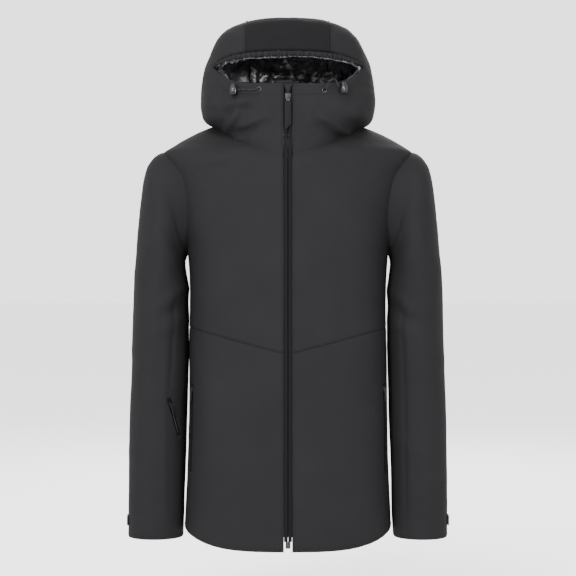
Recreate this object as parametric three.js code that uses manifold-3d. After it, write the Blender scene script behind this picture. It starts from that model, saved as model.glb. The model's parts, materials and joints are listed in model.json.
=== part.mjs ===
// Insulated ski jacket, hood up, front zip closed, sleeves hanging.
// Millimetres, +Z up, the front faces -Y, the wearer's left is +X.
// The origin is under the top of the hang loop at the back of the neck.
// Heights below are counted from the back neck point, and the jacket is moved to the loop at the end.
import * as THREE from "three";
import { mergeVertices } from "three/addons/utils/BufferGeometryUtils.js";
import Module from "manifold-3d";

const wasm = await Module();
wasm.setup();

// ---------------------------------------------------------------- driving dimensions
const BODY_LENGTH = 760; // back neck point down to the front hem
const BACK_DROP = 25; // how much lower the back hem hangs
const SIDE_RISE = 12; // how much higher the side hem sits
const HALF_WIDTH = 184; // half the chest width under the arm
const WAIST_IN = 3; // the waist is this much narrower each side
const HEM_FLARE = 6; // and the hem this much wider
const SHOULDER_REACH = 45; // shoulder point beyond the chest's side
const UNDERARM_Z = -238; // level of the underarm
const FRONT_NECK_Y = -119.6; // front centre line at the level of the back neck point
const FRONT_LEAN = 0.04; // it comes forward by this slope towards the hem
const BACK_Y = 150; // back centre at the hem
const CHEVRON_CENTRE_Z = -417; // chevron seam at the zip
const CHEVRON_SIDE_Z = -370; // and at the side seam
const YOKE_Z = -150; // back yoke seam
const SLEEVE_DROP = 751; // back neck point down to the cuff edge
const SLEEVE_WIDTH = 97; // sleeve across, seen from the front
const ARM_GAP = 5; // air between the sleeve and the side below the underarm
const HOOD_HALF_WIDTH = 161;
const HOOD_HEIGHT = 189; // back neck point up to the top of the hood
const HOOD_BACK_Y = 158;
const COLLAR_TOP_Z = 61; // collar edge at the chin
const FACE_HALF_WIDTH = 136; // face opening, corner to centre
const FACE_CORNER_Z = 97;
const FACE_TOP_Z = 107;
const FACE_UPPER_POWER = 3; // the higher, the flatter the edge and the sharper its corner
const FACE_LOWER_POWER = 5;
const BRIM_WIDTH = 11; // drawcord channel over the face opening
const SHELL = 2; // outer cloth with its membrane and seam allowance
const INSULATION = 4.6; // quilt wadding
const LINING = 1.4;
const GAP = 0.4; // air left between neighbouring layers
const SEAM = 0.4; // air left between two panels along a seam
const ZIP_SLOT = 14.6; // gap between the two fronts that shows the zip
const ZIP_FIT = 0.4; // tape edge to slot edge
const ZIP_TOP_Z = 44; // top of the front zip
const ZIP_FOOT = 6; // the zip ends this far above the hem
const POCKET_TOP_Z = -472;
const POCKET_LENGTH = 160;
const POCKET_SLOT = 11;
const POCKET_BAG_INNER_X = 60; // the hand-pocket bag's edge nearest the zip
const POCKET_BAG_OVER = 25; // how far the bag reaches over and under its zip
const POCKET_BAG_UNDER = 40;
const POCKET_BAG_THICK = 1.6;
const SLEEVE_POCKET_SLOT = 9;
const SLEEVE_ZIP_HEAD = [25, 251]; // out from the body's side, and up from the cuff edge
const SLEEVE_ZIP_FOOT = [9, 185];
const SLEEVE_ZIP_PROUD = 1.6;
const PULLER_HALF_WIDTH = 5.6; // the front zip's cloth puller, under its metal pull
const PULLER_TOP = -9.2;
const PULLER_SLANT = -49;
const PULLER_TIP = -59.5;
const PULLER_THICK = 2.2;
const CORD_DIAMETER = 2.5;
const LOCK_RADIUS = 6.5;
const LOCK_TRAVEL = 3;
const TAB_HEIGHT = 20;
const TAB_FOOT = 19; // tab's lower edge above the cuff edge
const TAB_PROUD = 1.6; // room for the loop pad under the tab
const TAB_THICK = 1.8;
const FACING = 1.4; // chin guard, storm flap and zip garage cloth
const GUARD_X = [-26, 20]; // chin guard, across
const GUARD_FOOT_Z = -30;
const GUARD_PROUD = 4; // it stands this far over the collar
const FLAP_HALF_WIDTH = 24;
const FLAP_TOP_Z = -95;
const FLAP_FOOT = 40; // storm flap's foot above the hem
const GARAGE_HALF_WIDTH = 8;
const GARAGE_OUT = 1.2; // in front of the zip's own face
const GARAGE_FOOT = 0.6; // above the top of the zip
const GARAGE_HEIGHT = 14.4;
const LAYERS_FOOT = 28; // the padding and lining end this far above the hem
const LOOP_SPAN = 56; // hang loop
const LOOP_RISE = 17;
const LOOP_TAPE = 5;
const LOOP_Y = 70; // hang loop from the middle plane of the jacket
const LOOP_FOOT_Z = -1.4;
const EYELET_X = { left: 64, right: 51 }; // drawcord eyelets and locks on the collar
const EYELET_Z = { left: 49, right: 50.5 };
const LOCK_X = { left: 95, right: 93 };
const LOCK_Z = { left: 53, right: 50 };
const EYELET_RADIUS = 4.8;
const BUTTON_RADIUS = 4.3;
const BORE_FIT = 0.3;

// ---------------------------------------------------------------- finishes
const finish = (color, roughness, metalness = 0) => ({ color, roughness, metalness });
const CLOTH = finish(0x303031, 0.85);
const CLOTH_DARK = finish(0x242425, 0.85);
const WADDING = finish(0xd8d8d4, 0.95);
const SATIN = finish(0x0c0c0d, 0.35);
const TAPE = finish(0x141415, 0.7);
const METAL = finish(0x1d1d1f, 0.35, 0.8);
const RUBBER = finish(0x161616, 0.6);
const PLASTIC = finish(0x101011, 0.3);
const STEEL = finish(0x9a9a9c, 0.3, 1);

// ---------------------------------------------------------------- solids
function solidOf(geometry) {
  const bare = geometry.clone();
  bare.deleteAttribute("normal");
  bare.deleteAttribute("uv");
  const merged = mergeVertices(bare, 1e-4);
  const made = new wasm.Manifold(
    new wasm.Mesh({
      numProp: 3,
      vertProperties: merged.attributes.position.array,
      triVerts: new Uint32Array(merged.index.array),
    }),
  );
  return made;
}

function geometryOf(solid) {
  const mesh = solid.getMesh();
  const geometry = new THREE.BufferGeometry();
  geometry.setAttribute("position", new THREE.BufferAttribute(mesh.vertProperties, 3));
  geometry.setIndex(new THREE.BufferAttribute(mesh.triVerts, 1));
  geometry.computeVertexNormals();
  return geometry;
}

const jacket = new THREE.Group();

function addMesh(name, geometry, look, parent = jacket) {
  const mesh = new THREE.Mesh(geometry, new THREE.MeshStandardMaterial(look));
  mesh.name = name;
  parent.add(mesh);
  return mesh;
}

const addSolid = (name, solid, look, parent = jacket) => addMesh(name, geometryOf(solid), look, parent);

// A box between two corners, in the frame of an object when one is given.
function boxBetween(low, high, frame = null) {
  const size = high.map((value, k) => value - low[k]);
  const geometry = new THREE.BoxGeometry(...size);
  geometry.translate(...low.map((value, k) => value + size[k] / 2));
  if (frame) geometry.applyMatrix4(frame.matrixWorld);
  return geometry;
}

const cutBox = (low, high, frame = null) => solidOf(boxBetween(low, high, frame));

// An outline in X and Z, extruded along Y from yLow to yHigh.
function prismAlongY(outline, yLow, yHigh) {
  const shape = new THREE.Shape(outline.map(([x, z]) => new THREE.Vector2(x, z)));
  const geometry = new THREE.ExtrudeGeometry(shape, { depth: yHigh - yLow, bevelEnabled: false });
  geometry.rotateX(Math.PI / 2);
  geometry.translate(0, yHigh, 0);
  return solidOf(geometry);
}

// ---------------------------------------------------------------- lofts
// A loft is a stack of closed rings with the same number of points.
// at(depth) is the loft's surface moved in by depth, as one closed solid,
// with its first and last ring run out by the two end lengths.
class Loft {
  constructor(rings, firstAxis, lastAxis) {
    this.rings = rings;
    this.firstAxis = firstAxis;
    this.lastAxis = lastAxis;
    this.normals = rings.map((ring, i) => ring.map((point, j) => this.normal(i, j)));
  }

  normal(i, j) {
    const rings = this.rings;
    const count = rings[i].length;
    const along = new THREE.Vector3().subVectors(
      rings[Math.min(i + 1, rings.length - 1)][j],
      rings[Math.max(i - 1, 0)][j],
    );
    const round = new THREE.Vector3().subVectors(rings[i][(j + 1) % count], rings[i][(j + count - 1) % count]);
    return round.cross(along).normalize();
  }

  at(depth, firstEnd = 0, lastEnd = 0) {
    const moved = this.rings.map((ring, i) =>
      ring.map((point, j) => point.clone().addScaledVector(this.normals[i][j], -depth)),
    );
    if (firstEnd) moved.unshift(moved[0].map((p) => p.clone().addScaledVector(this.firstAxis, firstEnd)));
    if (lastEnd) moved.push(moved.at(-1).map((p) => p.clone().addScaledVector(this.lastAxis, lastEnd)));
    return solidOf(closedLoft(moved));
  }

  layer(outerDepth, innerDepth, firstEnd = 0, lastEnd = 0) {
    return this.at(outerDepth).subtract(this.at(innerDepth, firstEnd, lastEnd));
  }
}

function closedLoft(rings) {
  const count = rings[0].length;
  const points = rings.flat();
  const faces = [];
  for (let i = 0; i + 1 < rings.length; i += 1) {
    for (let j = 0; j < count; j += 1) {
      const a = i * count + j;
      const b = i * count + ((j + 1) % count);
      faces.push(a, b, b + count, a, b + count, a + count);
    }
  }
  const addCap = (ring, start, turned) => {
    const centre = ring.reduce((sum, p) => sum.add(p), new THREE.Vector3()).divideScalar(count);
    const hub = points.push(centre) - 1;
    for (let j = 0; j < count; j += 1) {
      const a = start + j;
      const b = start + ((j + 1) % count);
      faces.push(hub, turned ? b : a, turned ? a : b);
    }
  };
  addCap(rings[0], 0, true);
  addCap(rings.at(-1), (rings.length - 1) * count, false);
  const geometry = new THREE.BufferGeometry();
  geometry.setAttribute("position", new THREE.Float32BufferAttribute(points.flatMap((p) => [p.x, p.y, p.z]), 3));
  geometry.setIndex(faces);
  return geometry;
}

// One point of a rounded-square ring: angle 0 is +X, a quarter turn on is +Y.
function squarePoint(angle, halfWidth, frontY, backY, z, squareness) {
  const power = 2 / squareness;
  const bend = (value) => Math.sign(value) * Math.abs(value) ** power;
  const middle = (frontY + backY) / 2;
  return new THREE.Vector3(
    halfWidth * bend(Math.cos(angle)),
    middle + ((backY - frontY) / 2) * bend(Math.sin(angle)),
    z,
  );
}

const UP = new THREE.Vector3(0, 0, 1);
const DOWN = new THREE.Vector3(0, 0, -1);
const ringAngles = (count) => Array.from({ length: count }, (_, j) => (j / count) * 2 * Math.PI);
const frontY = (z) => FRONT_NECK_Y + z * FRONT_LEAN;

// ---------------------------------------------------------------- body
const TORSO_POINTS = 20;
const bodyZ = (share) => UNDERARM_Z - share * (BODY_LENGTH + UNDERARM_Z);
const shoulderX = HALF_WIDTH + SHOULDER_REACH;
// height, half width, front, back, squareness, from the hem up to the neck
const TORSO_ROWS = [
  [-BODY_LENGTH, HALF_WIDTH + HEM_FLARE, frontY(-BODY_LENGTH), BACK_Y, 2.5],
  [bodyZ(0.76), HALF_WIDTH, frontY(bodyZ(0.76)), BACK_Y - 2, 2.5],
  [bodyZ(0.38), HALF_WIDTH - WAIST_IN, frontY(bodyZ(0.38)), BACK_Y - 8, 2.5],
  [UNDERARM_Z, HALF_WIDTH, frontY(UNDERARM_Z), BACK_Y - 12, 2.5],
  [-190, HALF_WIDTH + 11, frontY(-190), BACK_Y - 14, 2.45],
  [-140, HALF_WIDTH + 20, frontY(-140), BACK_Y - 18, 2.4],
  [-100, HALF_WIDTH + 31, frontY(-100), BACK_Y - 25, 2.3],
  [-75, HALF_WIDTH + 40, frontY(-75), BACK_Y - 31, 2.2],
  [-55, shoulderX, frontY(-75) + 10, BACK_Y - 38, 2.1],
  [-38, shoulderX - 21, -93, 102, 2],
  [-20, shoulderX - 51, -68, 90, 2],
  [-5, shoulderX - 83, -44, 74, 2],
  [8, shoulderX - 120, -18, 52, 2],
];

function hemDrop(angle, isHem) {
  if (!isHem) return 0;
  const s = Math.sin(angle);
  const towardsEnd = s < 0 ? SIDE_RISE : SIDE_RISE + BACK_DROP;
  return SIDE_RISE - towardsEnd * s * s;
}

const torso = new Loft(
  TORSO_ROWS.map(([z, halfWidth, front, back, squareness], row) =>
    ringAngles(TORSO_POINTS).map((angle) =>
      squarePoint(angle, halfWidth, front, back, z + hemDrop(angle, row === 0), squareness),
    ),
  ),
  DOWN,
  UP,
);

// A point on the body's smooth surface at a height and a ring angle, and the way it faces.
function torsoSpot(z, angle) {
  const at = (height) => {
    const upper = TORSO_ROWS.findIndex((row) => row[0] >= height);
    const [low, high] = [TORSO_ROWS[upper - 1], TORSO_ROWS[upper]];
    const share = (height - low[0]) / (high[0] - low[0]);
    const row = low.map((value, k) => value + share * (high[k] - value));
    return (turn) => squarePoint(turn, row[1], row[2], row[3], height, row[4]);
  };
  const here = at(z);
  const round = here(angle + 0.02).sub(here(angle - 0.02));
  const along = at(z + 1)(angle).sub(at(z - 1)(angle));
  return { point: here(angle), out: round.cross(along).normalize() };
}

// ---------------------------------------------------------------- hood and collar
const HOOD_POINTS = 24;
const hoodZ = (share) => COLLAR_TOP_Z + share * (HOOD_HEIGHT - COLLAR_TOP_Z);
// height, half width, front, back, squareness, from below the neck seam up to the crown
const HOOD_ROWS = [
  [-95, 92, frontY(-95), 60, 2.2],
  [-40, 101, frontY(-40), 74, 2.2],
  [-14, 120, frontY(-14), 84, 2.3],
  [2, HOOD_HALF_WIDTH - 12, frontY(2), 98, 2.4],
  [22, HOOD_HALF_WIDTH - 3, frontY(22), 122, 2.5],
  [46, HOOD_HALF_WIDTH, frontY(46), HOOD_BACK_Y - 14, 2.5],
  [hoodZ(0.2), HOOD_HALF_WIDTH - 4, -118, HOOD_BACK_Y - 3, 2.4],
  [hoodZ(0.42), HOOD_HALF_WIDTH - 12, -121, HOOD_BACK_Y, 2.4],
  [hoodZ(0.6), HOOD_HALF_WIDTH - 23, -122, HOOD_BACK_Y - 10, 2.4],
  [hoodZ(0.77), HOOD_HALF_WIDTH - 37, -116, HOOD_BACK_Y - 30, 2.3],
  [hoodZ(0.9), HOOD_HALF_WIDTH - 60, -98, HOOD_BACK_Y - 60, 2.2],
  [hoodZ(0.97), HOOD_HALF_WIDTH - 92, -70, HOOD_BACK_Y - 95, 2.1],
  [HOOD_HEIGHT, HOOD_HALF_WIDTH - 131, -36, HOOD_BACK_Y - 134, 2],
];

const hood = new Loft(
  HOOD_ROWS.map(([z, halfWidth, front, back, squareness]) =>
    ringAngles(HOOD_POINTS).map((angle) => squarePoint(angle, halfWidth, front, back, z, squareness)),
  ),
  DOWN,
  UP,
);

// ---------------------------------------------------------------- sleeves
const SLEEVE_POINTS = 12;
const CUFF_FORWARD = 28; // the hand end hangs this far in front of the shoulder
const underX = HALF_WIDTH + ARM_GAP;
const armZ = (share) => -310 - share * (SLEEVE_DROP - 310);
// top or outer point [x, z], under or inner point [x, z], half depth, middle y, from the armhole down
const SLEEVE_ROWS = [
  [[shoulderX - 30, -40], [underX - 25, -222], 70, 2],
  [[shoulderX + 3, -56], [underX - 6, -238], 80, 2],
  [[shoulderX + 22, -76], [underX - 2, -246], 86, 1],
  [[shoulderX + 34, -103], [underX, -253], 88, 0],
  [[shoulderX + 41, -144], [underX, -260], 88, -1],
  [[shoulderX + 46, -195], [underX, -270], 86, -2],
  [[shoulderX + 50, -250], [underX, -288], 82, -3],
  [[underX + SLEEVE_WIDTH - 3, -310], [underX, -322], 77, -5],
  [[underX + SLEEVE_WIDTH - 1, armZ(0.22)], [underX - 1, armZ(0.22)], 69, -8],
  [[underX + SLEEVE_WIDTH + 3, armZ(0.45)], [underX, armZ(0.45)], 62, -12],
  [[underX + SLEEVE_WIDTH + 4, armZ(0.7)], [underX + 3, armZ(0.7)], 55, -19],
  [[underX + SLEEVE_WIDTH + 4, -SLEEVE_DROP], [underX + 5, -SLEEVE_DROP], 48, -CUFF_FORWARD],
];

function sleeveLoft(side) {
  const rings = SLEEVE_ROWS.map(([[topX, topZ], [lowX, lowZ], halfDepth, y]) => {
    const centre = new THREE.Vector3((topX + lowX) / 2, y, (topZ + lowZ) / 2);
    const reach = new THREE.Vector3((topX - lowX) / 2, 0, (topZ - lowZ) / 2);
    return ringAngles(SLEEVE_POINTS).map((angle) => {
      const point = centre.clone().addScaledVector(reach, Math.cos(angle));
      point.y += halfDepth * Math.sin(angle) * -side;
      point.x *= side;
      return point;
    });
  });
  return new Loft(rings, new THREE.Vector3(-side, 0, 0.2), DOWN);
}

// ---------------------------------------------------------------- cutters
const BIG = 600;
const liningFrom = SHELL + GAP + INSULATION + GAP;
const innerFace = liningFrom + LINING;
const FRONT_HALF = cutBox([-BIG, -BIG, -2 * BIG], [BIG, -SEAM / 2, BIG]);
const BACK_HALF = cutBox([-BIG, SEAM / 2, -2 * BIG], [BIG, BIG, BIG]);
const halfSpace = (side, edge) =>
  side > 0
    ? cutBox([edge, -BIG, -2 * BIG], [BIG, BIG, BIG])
    : cutBox([-BIG, -BIG, -2 * BIG], [-edge, BIG, BIG]);

// The front zip's own frame: Z runs up the leaning front line and -Y faces out.
const zipFootZ = -BODY_LENGTH + ZIP_FOOT;
const frontZip = new THREE.Group();
frontZip.position.set(0, frontY(zipFootZ), zipFootZ);
frontZip.rotation.x = -Math.atan(FRONT_LEAN);
frontZip.updateMatrixWorld(true);
const zipLength = (ZIP_TOP_Z - zipFootZ) * Math.hypot(1, FRONT_LEAN);
const slotCut = cutBox([-ZIP_SLOT / 2, -20, -60], [ZIP_SLOT / 2, 30, zipLength], frontZip);

// The hole at the neck, straight down from the collar into the body.
const throat = new Loft(
  [-160, 40].map((z) =>
    ringAngles(TORSO_POINTS).map((angle) => squarePoint(angle, 88, frontY(-60) + innerFace + 2, 62, z, 2.2)),
  ),
  DOWN,
  UP,
).at(0);

// Lower part of each front, under the chevron seam.
const chevronLower = (offset) =>
  prismAlongY(
    [
      [-BIG, -2 * BIG],
      [BIG, -2 * BIG],
      [BIG, CHEVRON_SIDE_Z + 60 + offset],
      [HALF_WIDTH, CHEVRON_SIDE_Z + offset],
      [0, CHEVRON_CENTRE_Z + offset],
      [-HALF_WIDTH, CHEVRON_SIDE_Z + offset],
      [-BIG, CHEVRON_SIDE_Z + 60 + offset],
    ],
    -BIG,
    BIG,
  );

// The face opening is an eye: a flat arc above, a deeper one below, pointed corners.
const FACE_STEPS = 16;
function facePrism(upGrow, downGrow, yBack = 20) {
  const arc = (rise, edgePower, grow) =>
    Array.from({ length: FACE_STEPS + 1 }, (_, k) => {
      const t = -1 + (2 * k) / FACE_STEPS;
      const height = 1 - Math.abs(t) ** edgePower;
      return [t * (FACE_HALF_WIDTH + grow), FACE_CORNER_Z + rise * height + Math.sign(rise) * grow];
    });
  const upper = arc(FACE_TOP_Z - FACE_CORNER_Z, FACE_UPPER_POWER, upGrow);
  const lower = arc(COLLAR_TOP_Z - FACE_CORNER_Z, FACE_LOWER_POWER, downGrow).reverse();
  const outline = upGrow || downGrow ? [...upper, ...lower] : [...upper, ...lower.slice(1, -1)];
  return prismAlongY(outline, -BIG, yBack);
}

const torsoSolid = torso.at(-SEAM);
const throughNeck = (solid) => solid.subtract(throat);

// ---------------------------------------------------------------- zips
// Straight zip in the frame of a group: Z up its length, -Y out, its foot at the origin.
const TAPE_FROM = 0.8;
const TAPE_THICK = 1;
const COIL_THICK = 2.4;
const COIL_HALF = 3.2;
const ZIP_CLEAR = 0.8; // half the line between the two coils, where the slider's post runs
const POST_HALF = 0.5;

function zipHalf(side, halfSlot, length) {
  const between = (from, to, yLow, yHigh, zLow, zHigh) =>
    cutBox([Math.min(side * from, side * to), yLow, zLow], [Math.max(side * from, side * to), yHigh, zHigh]);
  const tapeBack = TAPE_FROM + TAPE_THICK;
  const tape = between(ZIP_CLEAR, halfSlot - ZIP_FIT, TAPE_FROM, tapeBack, 0, length);
  return tape.add(between(ZIP_CLEAR, COIL_HALF, tapeBack - 0.1, tapeBack + COIL_THICK, 0, length));
}

function zipSlider(halfWidth, height) {
  const backFrom = TAPE_FROM + TAPE_THICK + COIL_THICK + GAP;
  const plate = (yLow, yHigh) => {
    const shape = new THREE.Shape();
    shape.moveTo(-halfWidth * 0.7, -height / 2);
    shape.lineTo(halfWidth * 0.7, -height / 2);
    shape.lineTo(halfWidth, height / 2 - 3);
    shape.lineTo(halfWidth * 0.8, height / 2);
    shape.lineTo(-halfWidth * 0.8, height / 2);
    shape.lineTo(-halfWidth, height / 2 - 3);
    const geometry = new THREE.ExtrudeGeometry(shape, { depth: yHigh - yLow, bevelEnabled: false });
    geometry.rotateX(Math.PI / 2);
    geometry.translate(0, yHigh, 0);
    return solidOf(geometry);
  };
  const front = plate(-1.2, TAPE_FROM - GAP);
  const back = plate(backFrom, backFrom + 1.4);
  const post = cutBox([-POST_HALF, -0.5, -height / 2 + 1], [POST_HALF, backFrom + 0.5, height / 2 - 1]);
  const bridge = cutBox([-1.4, EYE_Y - 2.3, -height / 4], [1.4, -1, height / 4]).subtract(
    cutBox([-2, EYE_Y - EYE_ROOM, -height / 4 + 1], [2, EYE_Y + EYE_ROOM, height / 4 - 1]),
  );
  return front.add(back).add(post).add(bridge);
}

// The pull's eye turns in the bridge; its blade hangs below it.
const EYE_Y = -2.7;
const EYE_ROOM = 1.3;
const EYE_HALF = 0.7;
const PULL_THICK = 1.6;
function zipPull(bladeHalf, bladeLength) {
  const [yLow, yHigh] = [EYE_Y - PULL_THICK / 2, EYE_Y + PULL_THICK / 2];
  const eye = cutBox([-3, yLow, -EYE_HALF], [3, yHigh, EYE_HALF]);
  const legs = [-1, 1].map((side) =>
    cutBox([Math.min(side * 1.9, side * 3), yLow, -5.5], [Math.max(side * 1.9, side * 3), yHigh, EYE_HALF]),
  );
  const blade = cutBox([-bladeHalf, yLow, -5.5 - bladeLength], [bladeHalf, yHigh, -4.6]);
  return eye.add(legs[0]).add(legs[1]).add(blade);
}

// ---------------------------------------------------------------- body panels
const POCKET_TURN = 1.22; // pocket zips sit this far round from the front centre, radians

function zipFrame(foot, head, out) {
  const up = head.clone().sub(foot).normalize();
  const inward = out.clone().negate().addScaledVector(up, out.dot(up)).normalize();
  const across = new THREE.Vector3().crossVectors(inward, up);
  const frame = new THREE.Group();
  frame.quaternion.setFromRotationMatrix(new THREE.Matrix4().makeBasis(across, inward, up));
  frame.position.copy(foot);
  frame.updateMatrixWorld(true);
  return frame;
}

function pocketFrame(side) {
  const angle = 1.5 * Math.PI + side * POCKET_TURN;
  const head = torsoSpot(POCKET_TOP_Z, angle);
  const foot = torsoSpot(POCKET_TOP_Z - POCKET_LENGTH, angle);
  return zipFrame(foot.point, head.point, head.out.clone().add(foot.out).normalize());
}

const zipCut = (frame, slot, length, depth) =>
  cutBox([-slot / 2, -20, -ZIP_FIT], [slot / 2, depth, length + ZIP_FIT], frame);

const sides = { left: 1, right: -1 };
const sleeves = { left: sleeveLoft(1), right: sleeveLoft(-1) };
const armHoles = Object.fromEntries(
  Object.entries(sleeves).map(([name, loft]) => [name, loft.at(innerFace, 20, 0)]),
);
const pocketFrames = { left: pocketFrame(1), right: pocketFrame(-1) };

const openTorso = (solid) => throughNeck(solid).subtract(armHoles.left).subtract(armHoles.right);

const shellBody = openTorso(torso.layer(0, SHELL, 60, 0));
const wadBody = openTorso(torso.layer(SHELL + GAP, SHELL + GAP + INSULATION, 60, 0));
const liningBody = openTorso(torso.layer(liningFrom, innerFace, 60, 0));
const wideSlot = cutBox([-ZIP_SLOT / 2 - 2, -20, -60], [ZIP_SLOT / 2 + 2, 40, zipLength + 30], frontZip);
const hemTrim = cutBox([-BIG, -BIG, -BODY_LENGTH + LAYERS_FOOT], [BIG, BIG, BIG]);

for (const [name, side] of Object.entries(sides)) {
  const half = halfSpace(side, 0);
  const pocketSlot = zipCut(pocketFrames[name], POCKET_SLOT, POCKET_LENGTH, 30);
  const front = shellBody.intersect(FRONT_HALF).intersect(half).subtract(slotCut).subtract(pocketSlot);
  addSolid(`front_lower_${name}`, front.intersect(chevronLower(-SEAM / 2)), CLOTH);
  addSolid(`front_upper_${name}`, front.subtract(chevronLower(SEAM / 2)), CLOTH);
  const inside = (solid) =>
    solid.intersect(FRONT_HALF).intersect(half).intersect(hemTrim).subtract(wideSlot).subtract(pocketSlot);
  addSolid(`front_insulation_${name}`, inside(wadBody), WADDING);
  addSolid(`front_lining_${name}`, inside(liningBody), SATIN);
}
addSolid("back_panel", shellBody.intersect(BACK_HALF).intersect(
  cutBox([-BIG, -BIG, -2 * BIG], [BIG, BIG, YOKE_Z - SEAM / 2])), CLOTH);
addSolid("back_yoke", shellBody.intersect(BACK_HALF).intersect(
  cutBox([-BIG, -BIG, YOKE_Z + SEAM / 2], [BIG, BIG, BIG])), CLOTH);
addSolid("back_insulation", wadBody.intersect(BACK_HALF).intersect(hemTrim), WADDING);
addSolid("back_lining", liningBody.intersect(BACK_HALF).intersect(hemTrim), SATIN);

// ---------------------------------------------------------------- hood, collar and brim
// The collar is the part of the hood under the corners of the face opening.
const hoodLiningFrom = SHELL + GAP + 3.4;
const hoodInner = hoodLiningFrom + LINING;
const CROWN_SEAM_X = 76; // seams between the centre panel and the side panels
const TILT_SPLIT = SEAM / 2;
const overCorner = cutBox([-BIG, -BIG, FACE_CORNER_Z + TILT_SPLIT], [BIG, BIG, BIG]);
const underCorner = cutBox([-BIG, -BIG, -BIG], [BIG, BIG, FACE_CORNER_Z - TILT_SPLIT]);
const behind = cutBox([-CROWN_SEAM_X, 0, -BIG], [CROWN_SEAM_X, BIG, BIG]);
const centreStrip = cutBox([-CROWN_SEAM_X, -BIG, -BIG], [CROWN_SEAM_X, BIG, BIG]);
const wideStrip = cutBox([-CROWN_SEAM_X - SEAM, -BIG, -BIG], [CROWN_SEAM_X + SEAM, BIG, BIG]);
const wideBehind = cutBox([-CROWN_SEAM_X - SEAM, 0, -BIG], [CROWN_SEAM_X + SEAM, BIG, BIG]);
const faceHole = facePrism(0, 0);
const brimHole = facePrism(BRIM_WIDTH + SEAM, BRIM_WIDTH + SEAM);

const eyelets = {};
function spotOnCollar(x, z) {
  const upper = HOOD_ROWS.findIndex((row) => row[0] >= z);
  const [low, high] = [HOOD_ROWS[upper - 1], HOOD_ROWS[upper]];
  const share = (z - low[0]) / (high[0] - low[0]);
  const [, halfWidth, front, back, squareness] = low.map((value, k) => value + share * (high[k] - value));
  const angleAt = (across) => -Math.acos(Math.sign(across) * Math.abs(across / halfWidth) ** (squareness / 2));
  const at = (across) => squarePoint(angleAt(across), halfWidth, front, back, z, squareness);
  const side = at(x + 1).sub(at(x - 1));
  return { point: at(x), out: new THREE.Vector3(side.y, -side.x, 0).normalize() };
}

function standingFrame({ point, out }, away) {
  const frame = new THREE.Group();
  frame.position.copy(point).addScaledVector(out, away);
  frame.rotation.z = Math.atan2(out.x, -out.y);
  frame.updateMatrixWorld(true);
  return frame;
}

const lathe = (profile) => new THREE.LatheGeometry(profile.map(([r, y]) => new THREE.Vector2(r, y)), 10);

const collarShell = hood.layer(0, SHELL, 20, 0).subtract(torsoSolid).intersect(underCorner).subtract(faceHole);
const crownShell = hood.layer(0, SHELL).intersect(overCorner).subtract(brimHole);
const collarLining = hood
  .layer(hoodLiningFrom, hoodInner, 20, 0)
  .subtract(torsoSolid)
  .intersect(underCorner)
  .subtract(faceHole)
  .subtract(wideSlot);
const crownLining = hood.layer(hoodLiningFrom, hoodInner).intersect(overCorner).subtract(brimHole);
const brim = hood
  .at(-1.5)
  .subtract(hood.at(hoodInner))
  .intersect(facePrism(BRIM_WIDTH, BRIM_WIDTH))
  .subtract(faceHole)
  .intersect(overCorner);

for (const [name, side] of Object.entries(sides)) {
  const frame = standingFrame(spotOnCollar(side * EYELET_X[name], EYELET_Z[name]), 0);
  eyelets[name] = frame;
  const hole = new THREE.CylinderGeometry(EYELET_RADIUS + SEAM, EYELET_RADIUS + SEAM, 20, 12);
  hole.applyMatrix4(frame.matrixWorld);
  const own = halfSpace(side, SEAM / 2);
  const collar = collarShell.intersect(own).subtract(slotCut).subtract(wideBehind).subtract(solidOf(hole));
  addSolid(`collar_${name}`, collar, CLOTH);
  addSolid(`crown_${name}`, crownShell.intersect(own).subtract(wideStrip), CLOTH);
}
addSolid("collar_back", collarShell.intersect(behind), CLOTH);
addSolid("crown_centre", crownShell.intersect(centreStrip), CLOTH_DARK);
addSolid("hood_brim", brim, CLOTH);
addSolid("collar_lining", collarLining, SATIN);
addSolid("crown_lining", crownLining, SATIN);

// ---------------------------------------------------------------- chin guard, storm flap, hang loop
const guardDepth = hoodInner + GAP;
addSolid(
  "chin_guard",
  hood
    .layer(guardDepth, guardDepth + FACING)
    .intersect(cutBox([GUARD_X[0], -BIG, GUARD_FOOT_Z], [GUARD_X[1], 0, COLLAR_TOP_Z + GUARD_PROUD])),
  CLOTH,
);
addSolid(
  "storm_flap",
  torso
    .layer(innerFace + GAP, innerFace + GAP + FACING)
    .intersect(cutBox([-FLAP_HALF_WIDTH, -BIG, -BODY_LENGTH + FLAP_FOOT], [FLAP_HALF_WIDTH, 0, FLAP_TOP_Z])),
  CLOTH,
);
addSolid(
  "zip_garage",
  cutBox(
    [-GARAGE_HALF_WIDTH, -GARAGE_OUT - FACING, zipLength + GARAGE_FOOT],
    [GARAGE_HALF_WIDTH, -GARAGE_OUT, zipLength + GARAGE_FOOT + GARAGE_HEIGHT],
    frontZip,
  ),
  CLOTH,
);

function archOutline(halfSpan, rise, steps = 12) {
  return Array.from({ length: steps + 1 }, (_, k) => {
    const turn = Math.PI * (1 - k / steps);
    return [halfSpan * Math.cos(turn), LOOP_FOOT_Z + rise * Math.sin(turn)];
  });
}
const loopOutline = [
  ...archOutline(LOOP_SPAN / 2, LOOP_RISE + LOOP_TAPE),
  ...archOutline(LOOP_SPAN / 2 - LOOP_TAPE, LOOP_RISE).reverse(),
];
addSolid("hang_loop", prismAlongY(loopOutline, LOOP_Y, LOOP_Y + 1.6), TAPE);

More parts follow.
